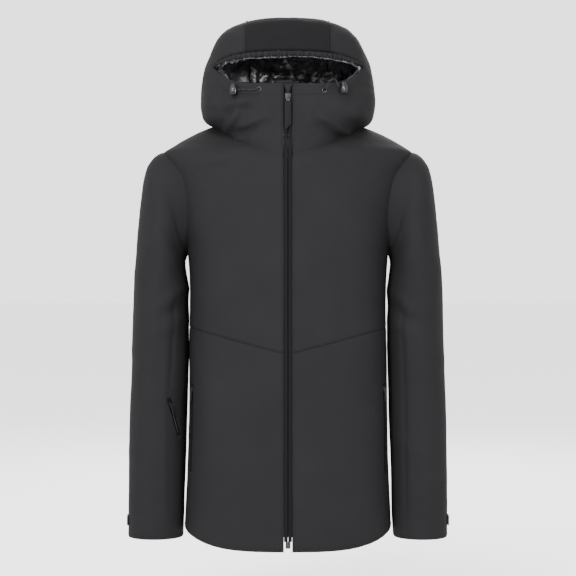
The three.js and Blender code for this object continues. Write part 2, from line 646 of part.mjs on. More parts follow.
// ---------------------------------------------------------------- front zip
const STOP_HEIGHT = 12; // bottom box
const SLIDER_HEIGHT = 12;
jacket.add(frontZip);
for (const [name, side] of Object.entries(sides)) {
  const above = cutBox([-20, -20, STOP_HEIGHT], [20, 30, zipLength + 1]);
  const strip = cutBox([-20, -20, -1], [20, 30, STOP_HEIGHT + 1]).subtract(cutBox([-4.8, -30, -5], [4.8, 30, 40]));
  const half = zipHalf(side, ZIP_SLOT / 2, zipLength - 0.5).intersect(above.add(strip));
  const pin = cutBox([1, 1.2, 1.4], [3, 4, STOP_HEIGHT + 1]);
  addSolid(`zip_half_${name}`, side > 0 ? half.add(pin) : half, TAPE, frontZip);
}
const pinHole = cutBox([0.7, 0.9, 1], [3.5, 5.1, STOP_HEIGHT + 1]);
addSolid("zip_box", cutBox([-4.4, -0.4, 0.6], [4.4, 6, STOP_HEIGHT - SEAM]).subtract(pinHole), METAL, frontZip);
const frontSlider = new THREE.Group();
frontSlider.position.z = zipLength - SLIDER_HEIGHT / 2 - 1;
frontZip.add(frontSlider);
addSolid("zip_slider", zipSlider(5, SLIDER_HEIGHT), METAL, frontSlider);
addSolid("zip_pull", zipPull(3, 3), METAL, frontSlider);
const pullerOutline = [
  [-PULLER_HALF_WIDTH, PULLER_TOP],
  [PULLER_HALF_WIDTH, PULLER_TOP],
  [PULLER_HALF_WIDTH, PULLER_SLANT],
  [-PULLER_HALF_WIDTH + 1, PULLER_TIP],
  [-PULLER_HALF_WIDTH, PULLER_TIP + 1.5],
];
const puller = prismAlongY(pullerOutline, EYE_Y - PULLER_THICK / 2, EYE_Y + PULLER_THICK / 2);
addSolid("zip_puller_tape", puller, RUBBER, frontSlider);

// ---------------------------------------------------------------- pocket zips
// A pocket zip is one tape with its two coils, sewn shut across both ends.
function addPocketZip(name, frame, slot, length, sliderHalf) {
  jacket.add(frame);
  const rail = (z) => cutBox([-slot / 2 + ZIP_FIT, TAPE_FROM, z], [slot / 2 - ZIP_FIT, TAPE_FROM + TAPE_THICK, z + 3]);
  const halves = zipHalf(1, slot / 2, length).add(zipHalf(-1, slot / 2, length));
  addSolid(`${name}_zip_tape`, halves.add(rail(0)).add(rail(length - 3)), TAPE, frame);
  const head = new THREE.Group();
  head.position.z = length - 10;
  frame.add(head);
  addSolid(`${name}_zip_slider`, zipSlider(sliderHalf, 9), METAL, head);
  addSolid(`${name}_zip_pull`, zipPull(3, 16), METAL, head);
}

for (const name of Object.keys(sides)) {
  addPocketZip(`pocket_${name}`, pocketFrames[name], POCKET_SLOT, POCKET_LENGTH, 4);
}

// Pocket bags lie flat against the lining's inner face.
const bagLayer = torso.layer(innerFace + GAP, innerFace + GAP + POCKET_BAG_THICK);
for (const [name, side] of Object.entries(sides)) {
  const [nearX, farX] = [POCKET_BAG_INNER_X, HALF_WIDTH - 30];
  const low = [Math.min(side * nearX, side * farX), -BIG, POCKET_TOP_Z - POCKET_LENGTH - POCKET_BAG_UNDER];
  const high = [Math.max(side * nearX, side * farX), 0, POCKET_TOP_Z + POCKET_BAG_OVER];
  addSolid(`pocket_bag_${name}`, bagLayer.intersect(cutBox(low, high)), SATIN);
}

// ---------------------------------------------------------------- sleeves
const FOREARM_HALF_DEPTH = 60.5; // the right forearm's section where its zip lies
const FOREARM_Y = -13.5;
const FOREARM_OUT = 1.5;
const FOREARM_WIDER = 2;
function spotOnForearm([out, up]) {
  const [x, z] = [-(underX + out), -SLEEVE_DROP + up];
  const centreX = -(underX + SLEEVE_WIDTH / 2 + FOREARM_OUT);
  const [halfWidth, halfDepth, middle] = [SLEEVE_WIDTH / 2 + FOREARM_WIDER, FOREARM_HALF_DEPTH, FOREARM_Y];
  const side = (x - centreX) / halfWidth;
  const y = middle - halfDepth * Math.sqrt(1 - side * side);
  const facing = new THREE.Vector3(side / halfWidth, (y - middle) / halfDepth / halfDepth, 0).normalize();
  return { point: new THREE.Vector3(x, y, z), out: facing };
}
const zipHead = spotOnForearm(SLEEVE_ZIP_HEAD);
const zipFoot = spotOnForearm(SLEEVE_ZIP_FOOT);
const sleeveZipOut = zipHead.out.clone().add(zipFoot.out).normalize();
const sleeveZipFrame = zipFrame(
  zipFoot.point.addScaledVector(sleeveZipOut, SLEEVE_ZIP_PROUD),
  zipHead.point.addScaledVector(sleeveZipOut, SLEEVE_ZIP_PROUD),
  sleeveZipOut,
);
const sleeveZipLength = zipHead.point.distanceTo(zipFoot.point);

// An angular slice around the cuff: 0 degrees faces away from the body, 90 degrees faces back.
function cuffSlice(side, fromDegrees, toDegrees, zLow, zHigh) {
  const centre = [side * (underX + 5 + (SLEEVE_WIDTH - 1) / 2), -CUFF_FORWARD + 1];
  const rim = Array.from({ length: 7 }, (_, k) => {
    const turn = ((fromDegrees + ((toDegrees - fromDegrees) * k) / 6) * Math.PI) / 180;
    return [centre[0] + side * 120 * Math.cos(turn), centre[1] + 120 * Math.sin(turn)];
  });
  const outline = side > 0 ? [centre, ...rim] : [centre, ...rim.reverse()];
  const shape = new THREE.Shape(outline.map(([x, y]) => new THREE.Vector2(x, y)));
  const geometry = new THREE.ExtrudeGeometry(shape, { depth: zHigh - zLow, bevelEnabled: false });
  geometry.translate(0, 0, zLow);
  return solidOf(geometry);
}

const tabLow = -SLEEVE_DROP + TAB_FOOT;
for (const [name, side] of Object.entries(sides)) {
  const loft = sleeves[name];
  const ownZip = name === "right" ? zipCut(sleeveZipFrame, SLEEVE_POCKET_SLOT, sleeveZipLength, 9) : null;
  const layer = (from, to) => {
    const wall = loft.layer(from, to, 20, 40).subtract(torsoSolid);
    return ownZip ? wall.subtract(ownZip) : wall;
  };
  addSolid(`sleeve_${name}`, layer(0, SHELL), CLOTH);
  // The sleeve's lining is quilted to its wadding, so they are one piece.
  addSolid(`sleeve_lining_${name}`, layer(SHELL + GAP, innerFace), SATIN);
  const tab = loft.at(-TAB_PROUD - TAB_THICK).subtract(loft.at(-TAB_PROUD, 20, 40));
  addSolid(`cuff_tab_${name}`, tab.intersect(cuffSlice(side, -22, 95, tabLow, tabLow + TAB_HEIGHT)), RUBBER);
  const pad = loft.at(-TAB_PROUD + SEAM).subtract(loft.at(-SEAM, 20, 40));
  const padSlice = cuffSlice(side, -14, 50, tabLow + 1, tabLow + TAB_HEIGHT - 1);
  addSolid(`cuff_loop_${name}`, pad.intersect(padSlice), TAPE);
}
addPocketZip("sleeve_pocket", sleeveZipFrame, SLEEVE_POCKET_SLOT, sleeveZipLength, 3.4);

// ---------------------------------------------------------------- drawcord: eyelets, locks and cords
const LOCK_FOOT = -9;
const LOCK_HEAD = 7;
const BORE_FOOT = -6.5;
const WIRE = 0.8;
const SPRING_TURNS = 3;

function turned(profile, frame, name, look) {
  const geometry = lathe(profile);
  geometry.rotateX(Math.PI / 2);
  addMesh(name, geometry, look, frame);
}

function springGeometry(low, high, radius) {
  const steps = SPRING_TURNS * 8;
  const points = Array.from({ length: steps + 1 }, (_, k) => {
    const turn = (k / 8) * 2 * Math.PI;
    return new THREE.Vector3(radius * Math.cos(turn), radius * Math.sin(turn), low + ((high - low) * k) / steps);
  });
  const section = new THREE.Shape(
    ringAngles(5).map((angle) => new THREE.Vector2((WIRE / 2) * Math.cos(angle), (WIRE / 2) * Math.sin(angle))),
  );
  return new THREE.ExtrudeGeometry(section, {
    steps,
    extrudePath: new THREE.CatmullRomCurve3(points),
    bevelEnabled: false,
  });
}

for (const [name, side] of Object.entries(sides)) {
  const ring = [
    [2.1, -0.8],
    [4.4, -0.8],
    [EYELET_RADIUS, -0.4],
    [EYELET_RADIUS, 2.8],
    [2.1, 2.8],
    [2.1, -0.8],
  ];
  jacket.add(eyelets[name]);
  addMesh(`eyelet_${name}`, lathe(ring), PLASTIC, eyelets[name]);

  const frame = standingFrame(spotOnCollar(side * LOCK_X[name], LOCK_Z[name]), LOCK_RADIUS + 1.2);
  jacket.add(frame);
  const bore = BUTTON_RADIUS + BORE_FIT;
  turned(
    [
      [0, LOCK_FOOT],
      [LOCK_RADIUS - 2, LOCK_FOOT],
      [LOCK_RADIUS - 0.4, LOCK_FOOT + 2],
      [LOCK_RADIUS, -1],
      [LOCK_RADIUS - 0.4, LOCK_HEAD - 2],
      [LOCK_RADIUS - 1, LOCK_HEAD],
      [bore, LOCK_HEAD],
      [bore, BORE_FOOT],
      [0, BORE_FOOT],
    ],
    frame,
    `cord_lock_${name}`,
    PLASTIC,
  );
  turned(
    [
      [0, 0],
      [BUTTON_RADIUS, 0],
      [BUTTON_RADIUS, LOCK_HEAD + LOCK_TRAVEL],
      [BUTTON_RADIUS - 1.2, LOCK_HEAD + LOCK_TRAVEL + 1],
      [0, LOCK_HEAD + LOCK_TRAVEL + 1.2],
    ],
    frame,
    `cord_lock_button_${name}`,
    PLASTIC,
  );
  const springLow = BORE_FOOT + WIRE / 2 + BORE_FIT;
  addMesh(`cord_lock_spring_${name}`, springGeometry(springLow, -WIRE / 2 - BORE_FIT, 3.1), STEEL, frame);
}

// Each cord comes out of its eyelet and goes into the side of its lock.
const CORD_ROUTES = {
  left: [
    [63.2, -108.5, 49],
    [64.1, -112.6, 49],
    [65, -116.4, 49.4],
    [67, -119.8, 52.5],
    [69.5, -120.8, 58],
    [73.5, -120.2, 64],
    [79.5, -118.4, 67.6],
    [85, -116.2, 65],
    [87.6, -114.4, 59.5],
    [90.4, -111.9, 55],
  ],
  right: [
    [-50.5, -111, 50.5],
    [-51.1, -115, 50.5],
    [-51.9, -118.4, 50.4],
    [-55, -121.6, 49.9],
    [-60, -121.8, 49.2],
    [-67, -119.3, 48.8],
    [-75, -116.6, 49.4],
    [-82, -114.2, 50],
    [-88.9, -111.9, 50],
  ],
};
const CORD_STEPS = 20;
for (const [name, route] of Object.entries(CORD_ROUTES)) {
  const path = new THREE.CatmullRomCurve3(route.map((point) => new THREE.Vector3(...point)));
  const radius = CORD_DIAMETER / 2;
  const section = new THREE.Shape(
    ringAngles(8).map((angle) => new THREE.Vector2(radius * Math.cos(angle), radius * Math.sin(angle))),
  );
  const tube = new THREE.ExtrudeGeometry(section, { steps: CORD_STEPS, extrudePath: path, bevelEnabled: false });
  addMesh(`drawcord_${name}`, tube, TAPE);
}

jacket.position.set(0, -LOOP_Y, -LOOP_FOOT_Z - LOOP_RISE);

export default jacket;
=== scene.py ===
import json
import math

import bmesh
import bpy
import numpy as np
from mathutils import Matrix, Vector, noise

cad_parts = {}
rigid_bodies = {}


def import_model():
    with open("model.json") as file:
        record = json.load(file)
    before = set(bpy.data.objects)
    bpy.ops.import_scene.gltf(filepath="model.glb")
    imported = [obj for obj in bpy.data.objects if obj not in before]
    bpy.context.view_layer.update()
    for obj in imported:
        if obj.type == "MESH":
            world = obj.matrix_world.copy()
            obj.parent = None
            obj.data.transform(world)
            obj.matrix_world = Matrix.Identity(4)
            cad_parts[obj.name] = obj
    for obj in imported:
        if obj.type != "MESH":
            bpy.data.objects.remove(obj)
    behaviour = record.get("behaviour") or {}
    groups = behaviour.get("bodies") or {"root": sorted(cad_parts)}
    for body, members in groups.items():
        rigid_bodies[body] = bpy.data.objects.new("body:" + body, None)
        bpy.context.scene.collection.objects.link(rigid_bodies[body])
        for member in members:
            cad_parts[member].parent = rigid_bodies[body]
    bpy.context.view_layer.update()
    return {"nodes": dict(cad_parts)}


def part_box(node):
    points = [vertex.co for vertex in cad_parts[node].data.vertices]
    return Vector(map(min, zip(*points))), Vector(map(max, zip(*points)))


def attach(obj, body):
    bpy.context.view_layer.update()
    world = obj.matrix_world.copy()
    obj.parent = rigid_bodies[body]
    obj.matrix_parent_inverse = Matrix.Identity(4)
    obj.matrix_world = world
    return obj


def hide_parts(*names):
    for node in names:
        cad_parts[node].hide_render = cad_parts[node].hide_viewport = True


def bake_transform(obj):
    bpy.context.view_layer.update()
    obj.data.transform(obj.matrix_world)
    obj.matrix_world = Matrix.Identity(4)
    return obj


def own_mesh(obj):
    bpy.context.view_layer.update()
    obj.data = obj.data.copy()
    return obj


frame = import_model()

# ---------------------------------------------------------------- camera
# Square on to the chest, level, as a jacket is shown on a form.
camera_data = bpy.data.cameras.new("camera")
camera_data.sensor_width = 36
camera_data.lens = 91.7
camera = bpy.data.objects.new("camera", camera_data)
camera.location = (0, -2.770, -0.3156)
camera.rotation_euler = (math.pi / 2, 0, 0)
bpy.context.collection.objects.link(camera)
bpy.context.scene.camera = camera


# ---------------------------------------------------------------- hood drawcords
# Round polyester cords, braided over a soft core, that draw the face opening in.
# Each comes out of its eyelet on the collar and goes into the side of its cord lock.
def hex_colour(text):
    """An sRGB hex colour as a linear colour."""
    parts = [int(text[k : k + 2], 16) / 255 for k in (1, 3, 5)]
    return [c / 12.92 if c <= 0.04045 else ((c + 0.055) / 1.055) ** 2.4 for c in parts] + [1]


def node(material, kind, values=None, links=None, **settings):
    """Adds one node: its settings, its socket values, and its links from other nodes' sockets."""
    made = material.node_tree.nodes.new(kind)
    for name, value in settings.items():
        setattr(made, name, value)
    for name, value in (values or {}).items():
        made.inputs[name].default_value = value
    for name, source in (links or {}).items():
        material.node_tree.links.new(source, made.inputs[name])
    return made


def new_finish(name, **shader):
    """A material with its shader's own constants set."""
    material = bpy.data.materials.new(name)
    material.use_nodes = True
    principled = material.node_tree.nodes["Principled BSDF"]
    for socket, value in shader.items():
        principled.inputs[socket.replace("_", " ")].default_value = value
    return material, principled


def wire(material, principled, colour, roughness=None, bump=None, depth=0.0002):
    """Joins a finish's colour, roughness and height to its shader."""
    links = material.node_tree.links
    links.new(colour, principled.inputs["Base Color"])
    if roughness:
        links.new(roughness, principled.inputs["Roughness"])
    if bump:
        relief = node(material, "ShaderNodeBump", {"Distance": depth, "Strength": 1.0}, {"Height": bump})
        links.new(relief.outputs["Normal"], principled.inputs["Normal"])

def two_tone(material, factor, low, high, start=0.0, end=1.0):
    """A ramp between two colours."""
    ramp = node(material, "ShaderNodeValToRGB", links={"Fac": factor})
    ramp.color_ramp.elements[0].color = hex_colour(low)
    ramp.color_ramp.elements[1].color = hex_colour(high)
    ramp.color_ramp.elements[0].position = start
    ramp.color_ramp.elements[1].position = end
    return ramp.outputs["Color"]


def band_scale(spacing):
    """A wave texture's scale for a light band and the dark one beside it this far apart, mm."""
    return 1000 / spacing / 6.3

def patterned(name, kind, values, low, high, relief=None, rough=None, bands=None, uv=False, **shader):
    """A finish whose colour, roughness and height follow one pattern, in the solid or along the cloth."""
    material, principled = new_finish(name, **shader)
    laid = node(material, "ShaderNodeUVMap", uv_map="cloth") if uv else node(material, "ShaderNodeTexCoord")
    settings = {"bands_direction": bands} if bands else {}
    made = node(material, kind, values, {"Vector": laid.outputs["UV" if uv else "Object"]}, **settings)
    pattern = made.outputs["Distance" if kind == "ShaderNodeTexVoronoi" else "Fac"]
    if rough:
        limits = {"To Min": rough[0], "To Max": rough[1]}
        rough = node(material, "ShaderNodeMapRange", limits, {"Value": pattern}).outputs[0]
    wire(material, principled, two_tone(material, pattern, low, high), rough, pattern if relief else None, relief)
    return material

# Braided polyester: a fine herringbone of matte yarns round the cord.
BRAID_PITCH = 1.6  # mm, from a yarn to the gap beside it
braid = patterned(
    "polyester_braided", "ShaderNodeTexWave", {"Scale": band_scale(BRAID_PITCH), "Distortion": 1.5, "Detail": 1},
    "#0A0A0B", "#1A1A1C", 0.0003, bands="DIAGONAL", Roughness=0.7, Specular_IOR_Level=0.1,
)

def keep(mesh_or_curve, name, material, body=None, replaces=()):
    """Puts a finished piece in the scene: its material, its body and what it stands for."""
    piece = bpy.data.objects.new(name, mesh_or_curve)
    bpy.context.collection.objects.link(piece)
    piece.data.materials.append(material)
    if body:
        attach(piece, body)
    if replaces:
        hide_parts(*replaces)
    return piece


LOOP_Y = 70  # the frame's origin, from the jacket's middle plane and back neck point, mm
LOOP_Z = 15.6


def placed(points):
    """Millimetres from the back neck point and middle plane, as metres in the frame."""
    return (np.asarray(points, float) - (0, LOOP_Y, LOOP_Z)) / 1000


def smooth_line(points, per_span):
    """A Catmull-Rom line through points."""
    p = np.vstack([2 * points[0] - points[1], points, 2 * points[-1] - points[-2]])
    line = []
    for a, b, c, d in zip(p, p[1:], p[2:], p[3:]):
        for s in np.arange(per_span) / per_span:
            square, cube = 2 * a - 5 * b + 4 * c - d, 3 * b - a - 3 * c + d
            line.append(0.5 * (2 * b + (c - a) * s + square * s**2 + cube * s**3))
    return np.array(line + [points[-1]])


CORD_DIAMETER = 0.0025
CORD_ROUTES = {
    "left": [
        (63.2, -108.5, 49), (64.1, -112.6, 49), (65, -116.4, 49.4), (67, -119.8, 52.5), (69.5, -120.8, 58),
        (73.5, -120.2, 64), (79.5, -118.4, 67.6), (85, -116.2, 65), (87.6, -114.4, 59.5), (90.4, -111.9, 55),
    ],
    "right": [
        (-50.5, -111, 50.5), (-51.1, -115, 50.5), (-51.9, -118.4, 50.4), (-55, -121.6, 49.9), (-60, -121.8, 49.2),
        (-67, -119.3, 48.8), (-75, -116.6, 49.4), (-82, -114.2, 50), (-88.9, -111.9, 50),
    ],
}
for side, route in CORD_ROUTES.items():
    line = smooth_line(placed(route), 3)
    curve = bpy.data.curves.new(f"drawcord_{side}", "CURVE")
    curve.dimensions = "3D"
    curve.bevel_depth = CORD_DIAMETER / 2
    curve.bevel_resolution = 4
    curve.use_fill_caps = True
    spline = curve.splines.new("POLY")
    spline.points.add(len(line) - 1)
    spline.points.foreach_set("co", np.hstack([line, np.ones((len(line), 1))]).ravel())
    spline.use_smooth = True
    cord = keep(curve, f"hood_drawcord_{side}", braid, "torso", [f"drawcord_{side}"])
    length = float(np.linalg.norm(np.diff(line, axis=0), axis=1).sum())


# ---------------------------------------------------------------- floor and light
# A plain pale floor under the jacket, and the soft light of a white studio.
FLOOR_Z, FLOOR_HALF = -0.95, 60  # metres
ground = bpy.data.meshes.new("floor")
corners = [(x * FLOOR_HALF, y * FLOOR_HALF, FLOOR_Z) for x, y in ((-1, -1), (1, -1), (1, 1), (-1, 1))]
ground.from_pydata(corners, [], [(0, 1, 2, 3)])
floor = bpy.data.objects.new("floor", ground)
bpy.context.collection.objects.link(floor)
floor_paint, shader = new_finish("floor_paint_matte_white", Roughness=1.0, Specular_IOR_Level=0.0)
shader.inputs["Base Color"].default_value = hex_colour("#F7F7F7")
ground.materials.append(floor_paint)

world = bpy.data.worlds.new("studio")
bpy.context.scene.world = world
world.use_nodes = True
world.node_tree.nodes["Background"].inputs["Color"].default_value = (1, 1, 1, 1)
world.node_tree.nodes["Background"].inputs["Strength"].default_value = 2.4

LAMPS = {  # place, size in metres, watts
    "key": ((-1.3, -2.5, 0.55), 0.7, 120),
    "fill": ((1.5, -2.4, 0.15), 0.5, 60),
    "top": ((-0.6, -1.6, 2.2), 1.0, 90),
    "back": ((0.4, 2.6, 1.5), 1.6, 90),
}
for name, (at, size, watts) in LAMPS.items():
    lamp = bpy.data.lights.new(name, "AREA")
    lamp.size, lamp.energy = size, watts
    holder = bpy.data.objects.new(name, lamp)
    holder.location = at
    holder.rotation_euler = (Vector((0, 0, -0.3)) - Vector(at)).to_track_quat("-Z", "Y").to_euler()
    bpy.context.collection.objects.link(holder)


# ---------------------------------------------------------------- body shell
# Six panels of charcoal polyester plain weave, backed with a membrane and seam-taped:
# two lower fronts, two upper fronts over the chevron seams, a back and a back yoke.
TORSO_ROWS = [  # mm: height, half width, front, back, squareness
    (-785, 191, -151, 150, 2.5), (-760, 190, -150, 150, 2.5), (-634.7, 184, -145, 148, 2.5),
    (-436.4, 181, -137.1, 142, 2.5), (-238, 184, -129.1, 138, 2.5), (-190, 195, -127.2, 136, 2.45),
    (-140, 204, -125.2, 132, 2.4), (-100, 215, -123.6, 125, 2.3), (-75, 224, -122.6, 119, 2.2),
    (-55, 229, -112.6, 112, 2.1), (-38, 208, -93, 102, 2), (-20, 178, -68, 90, 2), (-5, 146, -44, 74, 2),
    (8, 109, -18, 52, 2),
]
ZIP_EDGE = 7.3  # from the centre line to the front's edge along the zip, mm
CHEVRON = (-417, -370, 184)  # height at the zip, height at the side, half width at the side
HEM_RISE_FRONT, HEM_RISE_BACK = 25, 49
YOKE_SEAM_Z = -150
SHELL_THICK = 2.0
ROLL_RUN = 4.0  # a sewn edge rolls under over this much of the cloth, mm
BODY_LEVELS = (-770, 8)  # the body can cover other pieces between these heights, mm
BODY_TOP_Z = 7.5


def smooth_rows(rows):
    """The numbers of a stack of rings at any height, on smooth lines through the rows."""
    rows = np.array(rows, float)
    height, values = rows[:, 0], rows[:, 1:]
    step = np.diff(values, axis=0) / np.diff(height)[:, None]
    slope = np.vstack([step[:1], (step[:-1] + step[1:]) / 2, step[-1:]])
    slope[1:-1][step[:-1] * step[1:] <= 0] = 0

    def at(wanted):
        wanted = np.clip(wanted, height[0], height[-1])
        k = np.clip(np.searchsorted(height, wanted, side="right") - 1, 0, len(height) - 2)
        gap = (height[k + 1] - height[k])[..., None]
        s = (wanted - height[k])[..., None] / gap
        ends = (2 * s**3 - 3 * s**2 + 1) * values[k] + (3 * s**2 - 2 * s**3) * values[k + 1]
        return ends + (s**3 - 2 * s**2 + s) * gap * slope[k] + (s**3 - s**2) * gap * slope[k + 1]

    return at


def ring_points(rows_at, angle, height):
    """Points on rounded-square rings; angle 0 is the wearer's left side, a quarter turn back is the front."""
    angle, height = np.broadcast_arrays(angle, height)
    half, front, back, square = np.moveaxis(rows_at(height), -1, 0)
    c, s = np.cos(angle), np.sin(angle)
    x = half * np.sign(c) * np.abs(c) ** (2 / square)
    y = (front + back) / 2 + (back - front) / 2 * np.sign(s) * np.abs(s) ** (2 / square)
    return np.stack([x, y, height], -1)


def angle_at(rows_at, x, height):
    """How far round from the side a ring reaches the distance x from the centre line."""
    half, _, _, square = np.moveaxis(rows_at(height), -1, 0)
    return np.arccos(np.clip(x / half, 0, 1) ** (square / 2))


def edged(count, length):
    """Shares from 0 to 1, closer together near both ends, where a panel rolls under at its seam."""
    near = np.array([0, 0.6, 1.4, 2.6]) / length
    inner = np.linspace(0, 1, count)
    inner = inner[(inner > 4.2 / length) & (inner < 1 - 4.2 / length)]
    return np.concatenate([near, inner, 1 - near[::-1]])


def facing(grid, around=False):
    """The way each point of a grid of cloth faces."""
    if around:
        across = np.roll(grid, -1, 0) - np.roll(grid, 1, 0)
    else:
        across = np.gradient(grid, axis=0)
    out = np.cross(across, np.gradient(grid, axis=1))
    return out / (np.linalg.norm(out, axis=-1, keepdims=True) + 1e-9)


def run_along(grid, axis):
    """Distance along a grid's lines from their start, mm."""
    step = np.linalg.norm(np.diff(grid, axis=axis), axis=-1)
    pad = [(0, 0), (0, 0)]
    pad[axis] = (1, 0)
    return np.cumsum(np.pad(step, pad), axis=axis)


def room_to_edges(grid, first=True, last=True, low=True, high=True):
    """Distance from each point to the nearest sewn edge, mm. low and high may be a list, one for each column."""
    u, v = run_along(grid, 0), run_along(grid, 1)
    far = np.full(u.shape, 1e3)
    room = far
    if first:
        room = np.minimum(room, u)
    if last:
        room = np.minimum(room, u[-1:] - u)
    room = np.minimum(room, np.where(np.broadcast_to(np.array(low).reshape(-1, 1), u.shape), v, far))
    return np.minimum(room, np.where(np.broadcast_to(np.array(high).reshape(-1, 1), u.shape), v[:, -1:] - v, far))


def swells(points, size, seed):
    """Soft noise from -1 to 1, with swells of about the size given in mm."""
    where = points.reshape(-1, 3) / np.asarray(size, float) + seed
    return np.array([noise.noise(p) for p in where.tolist()]).reshape(points.shape[:-1])


def along_strokes(points, strokes):
    """Height that fold strokes give. A stroke is its height, its half width and its line in x and z, mm."""
    total = np.zeros(points.shape[:-1])
    for height, half_width, line in strokes:
        line = np.array(line, float)
        best = np.full(total.shape, 1e9)
        place = np.zeros(total.shape)
        for k, (a, b) in enumerate(zip(line, line[1:])):
            along = b - a
            share = np.clip(((points[..., [0, 2]] - a) @ along) / (along @ along), 0, 1)
            off = np.linalg.norm(points[..., [0, 2]] - a - share[..., None] * along, axis=-1)
            place = np.where(off < best, (k + share) / (len(line) - 1), place)
            best = np.minimum(best, off)
        taper = np.clip(np.minimum(place, 1 - place) * 4 + 0.15, 0, 1)
        total += height * taper * np.exp(-((best / half_width) ** 2))
    return total


def sheet_mesh(name, outer, inner, kept=None, around=False):
    """A closed sheet between an outer and an inner grid of points in metres. kept says which quads stay."""
    m, n = outer.shape[:2]
    index = np.arange(m * n).reshape(m, n)
    if around:
        index = np.vstack([index, index[:1]])
    quads = np.stack([index[:-1, :-1], index[1:, :-1], index[1:, 1:], index[:-1, 1:]], -1)
    quads = (quads if kept is None else quads[kept]).reshape(-1, 4)
    start, end = quads.ravel(), np.roll(quads, -1, axis=1).ravel()
    rim = ~np.isin(end * m * n + start, start * m * n + end)
    a, b = start[rim], end[rim]
    faces = np.vstack([quads, quads[:, ::-1] + m * n, np.stack([b, a, a + m * n, b + m * n], -1)])
    points = np.concatenate([outer.reshape(-1, 3), inner.reshape(-1, 3)])
    used, faces = np.unique(faces, return_inverse=True)
    mesh = bpy.data.meshes.new(name)
    mesh.from_pydata(points[used].tolist(), [], faces.reshape(-1, 4).tolist())
    u, v = run_along(outer, 0)[:, [n // 2]] + np.zeros((m, n)), run_along(outer, 1)
    cloth = np.tile(np.stack([u, v], -1).reshape(-1, 2), (2, 1))[used]
    corners = np.zeros(len(mesh.loops), int)
    mesh.loops.foreach_get("vertex_index", corners)
    mesh.uv_layers.new(name="cloth").data.foreach_set("uv", cloth[corners].ravel())
    mesh.shade_smooth()
    return mesh


def smooth_mesh(work, name):
    """A finished mesh, shaded smooth, from the one being worked on."""
    mesh = bpy.data.meshes.new(name)
    work.to_mesh(mesh)
    work.free()
    mesh.shade_smooth()
    return mesh

def weld(name, meshes):
    """One mesh of several sheets that share an edge, with the walls between them taken out."""
    work = bmesh.new()
    for mesh in meshes:
        work.from_mesh(mesh)
        bpy.data.meshes.remove(mesh)
    bmesh.ops.remove_doubles(work, verts=work.verts, dist=2e-5)
    seen = {}
    for face in work.faces:
        seen.setdefault(frozenset(v.index for v in face.verts), []).append(face)
    walls = [face for faces in seen.values() if len(faces) > 1 for face in faces]
    bmesh.ops.delete(work, geom=walls, context="FACES_ONLY")
    return smooth_mesh(work, name)


def cloth_sheet(name, grid, thick, depth=0.0, roll=1.3, room=None, kept=None, around=False):
    """A sheet of cloth under a grid of points in mm: its depth and thickness, and how far its edges roll under."""
    out = facing(grid, around)
    sink = 0 if room is None else roll * (1 - np.clip(room / ROLL_RUN, 0, 1)) ** 2
    outer = grid - out * (depth + sink + np.zeros(grid.shape[:2]))[..., None]
    inner = grid - out * (depth + np.maximum(thick, sink + 0.4) + np.zeros(grid.shape[:2]))[..., None]
    return sheet_mesh(name, placed(outer), placed(inner), kept, around)


# Plain-woven polyester, dyed charcoal and given a water-repellent finish: very matte, with a faint
# grain of threads. The real threads are 0.25 mm apart, drawn 1.8 mm apart so that they can show.
THREAD_SPACING = 0.9  # mm, from the top of a thread to the gap beside it
THREAD_HEIGHT = 0.00006  # metres

def woven(name, low, high, roughness):
    """The shell cloth in a colour: threads both ways, a fine grain, and a slow cloudiness of the dye."""
    material, shader = new_finish(name, Roughness=roughness, Specular_IOR_Level=0.05)
    cloth_at = node(material, "ShaderNodeUVMap", uv_map="cloth").outputs["UV"]
    solid_at = node(material, "ShaderNodeTexCoord").outputs["Object"]
    scale = {"Scale": band_scale(THREAD_SPACING)}
    warp, weft = (
        node(material, "ShaderNodeTexWave", scale, {"Vector": cloth_at}, bands_direction=way).outputs["Fac"]
        for way in ("X", "Y")
    )
    grain, cloud = (
        node(material, "ShaderNodeTexNoise", {"Scale": size, "Detail": detail}, {"Vector": solid_at}).outputs["Fac"]
        for size, detail in ((900, 3), (14, 4))
    )
    threads = node(material, "ShaderNodeMath", links={0: warp, 1: weft}, operation="MULTIPLY").outputs[0]
    mixed = node(material, "ShaderNodeMath", {1: 0.5}, {0: grain, 2: threads}, operation="MULTIPLY_ADD").outputs[0]
    tone = node(material, "ShaderNodeMath", {1: 0.5}, {0: cloud, 2: mixed}, operation="MULTIPLY_ADD").outputs[0]
    wire(material, shader, two_tone(material, tone, low, high, 0.2, 1.3), bump=mixed, depth=THREAD_HEIGHT)
    return material

shell_cloth = woven("polyester_plain_weave_charcoal", "#0E0E0F", "#161617", 0.8)
# The same cloth in a darker copy for the hood's centre panel: painted shade, where the crown faces forward and down,
# away from the lamps.
shell_cloth_painted_shade = woven("polyester_plain_weave_crown_painted_shade", "#09090A", "#0F0F10", 0.85)
torso_at = smooth_rows(TORSO_ROWS)

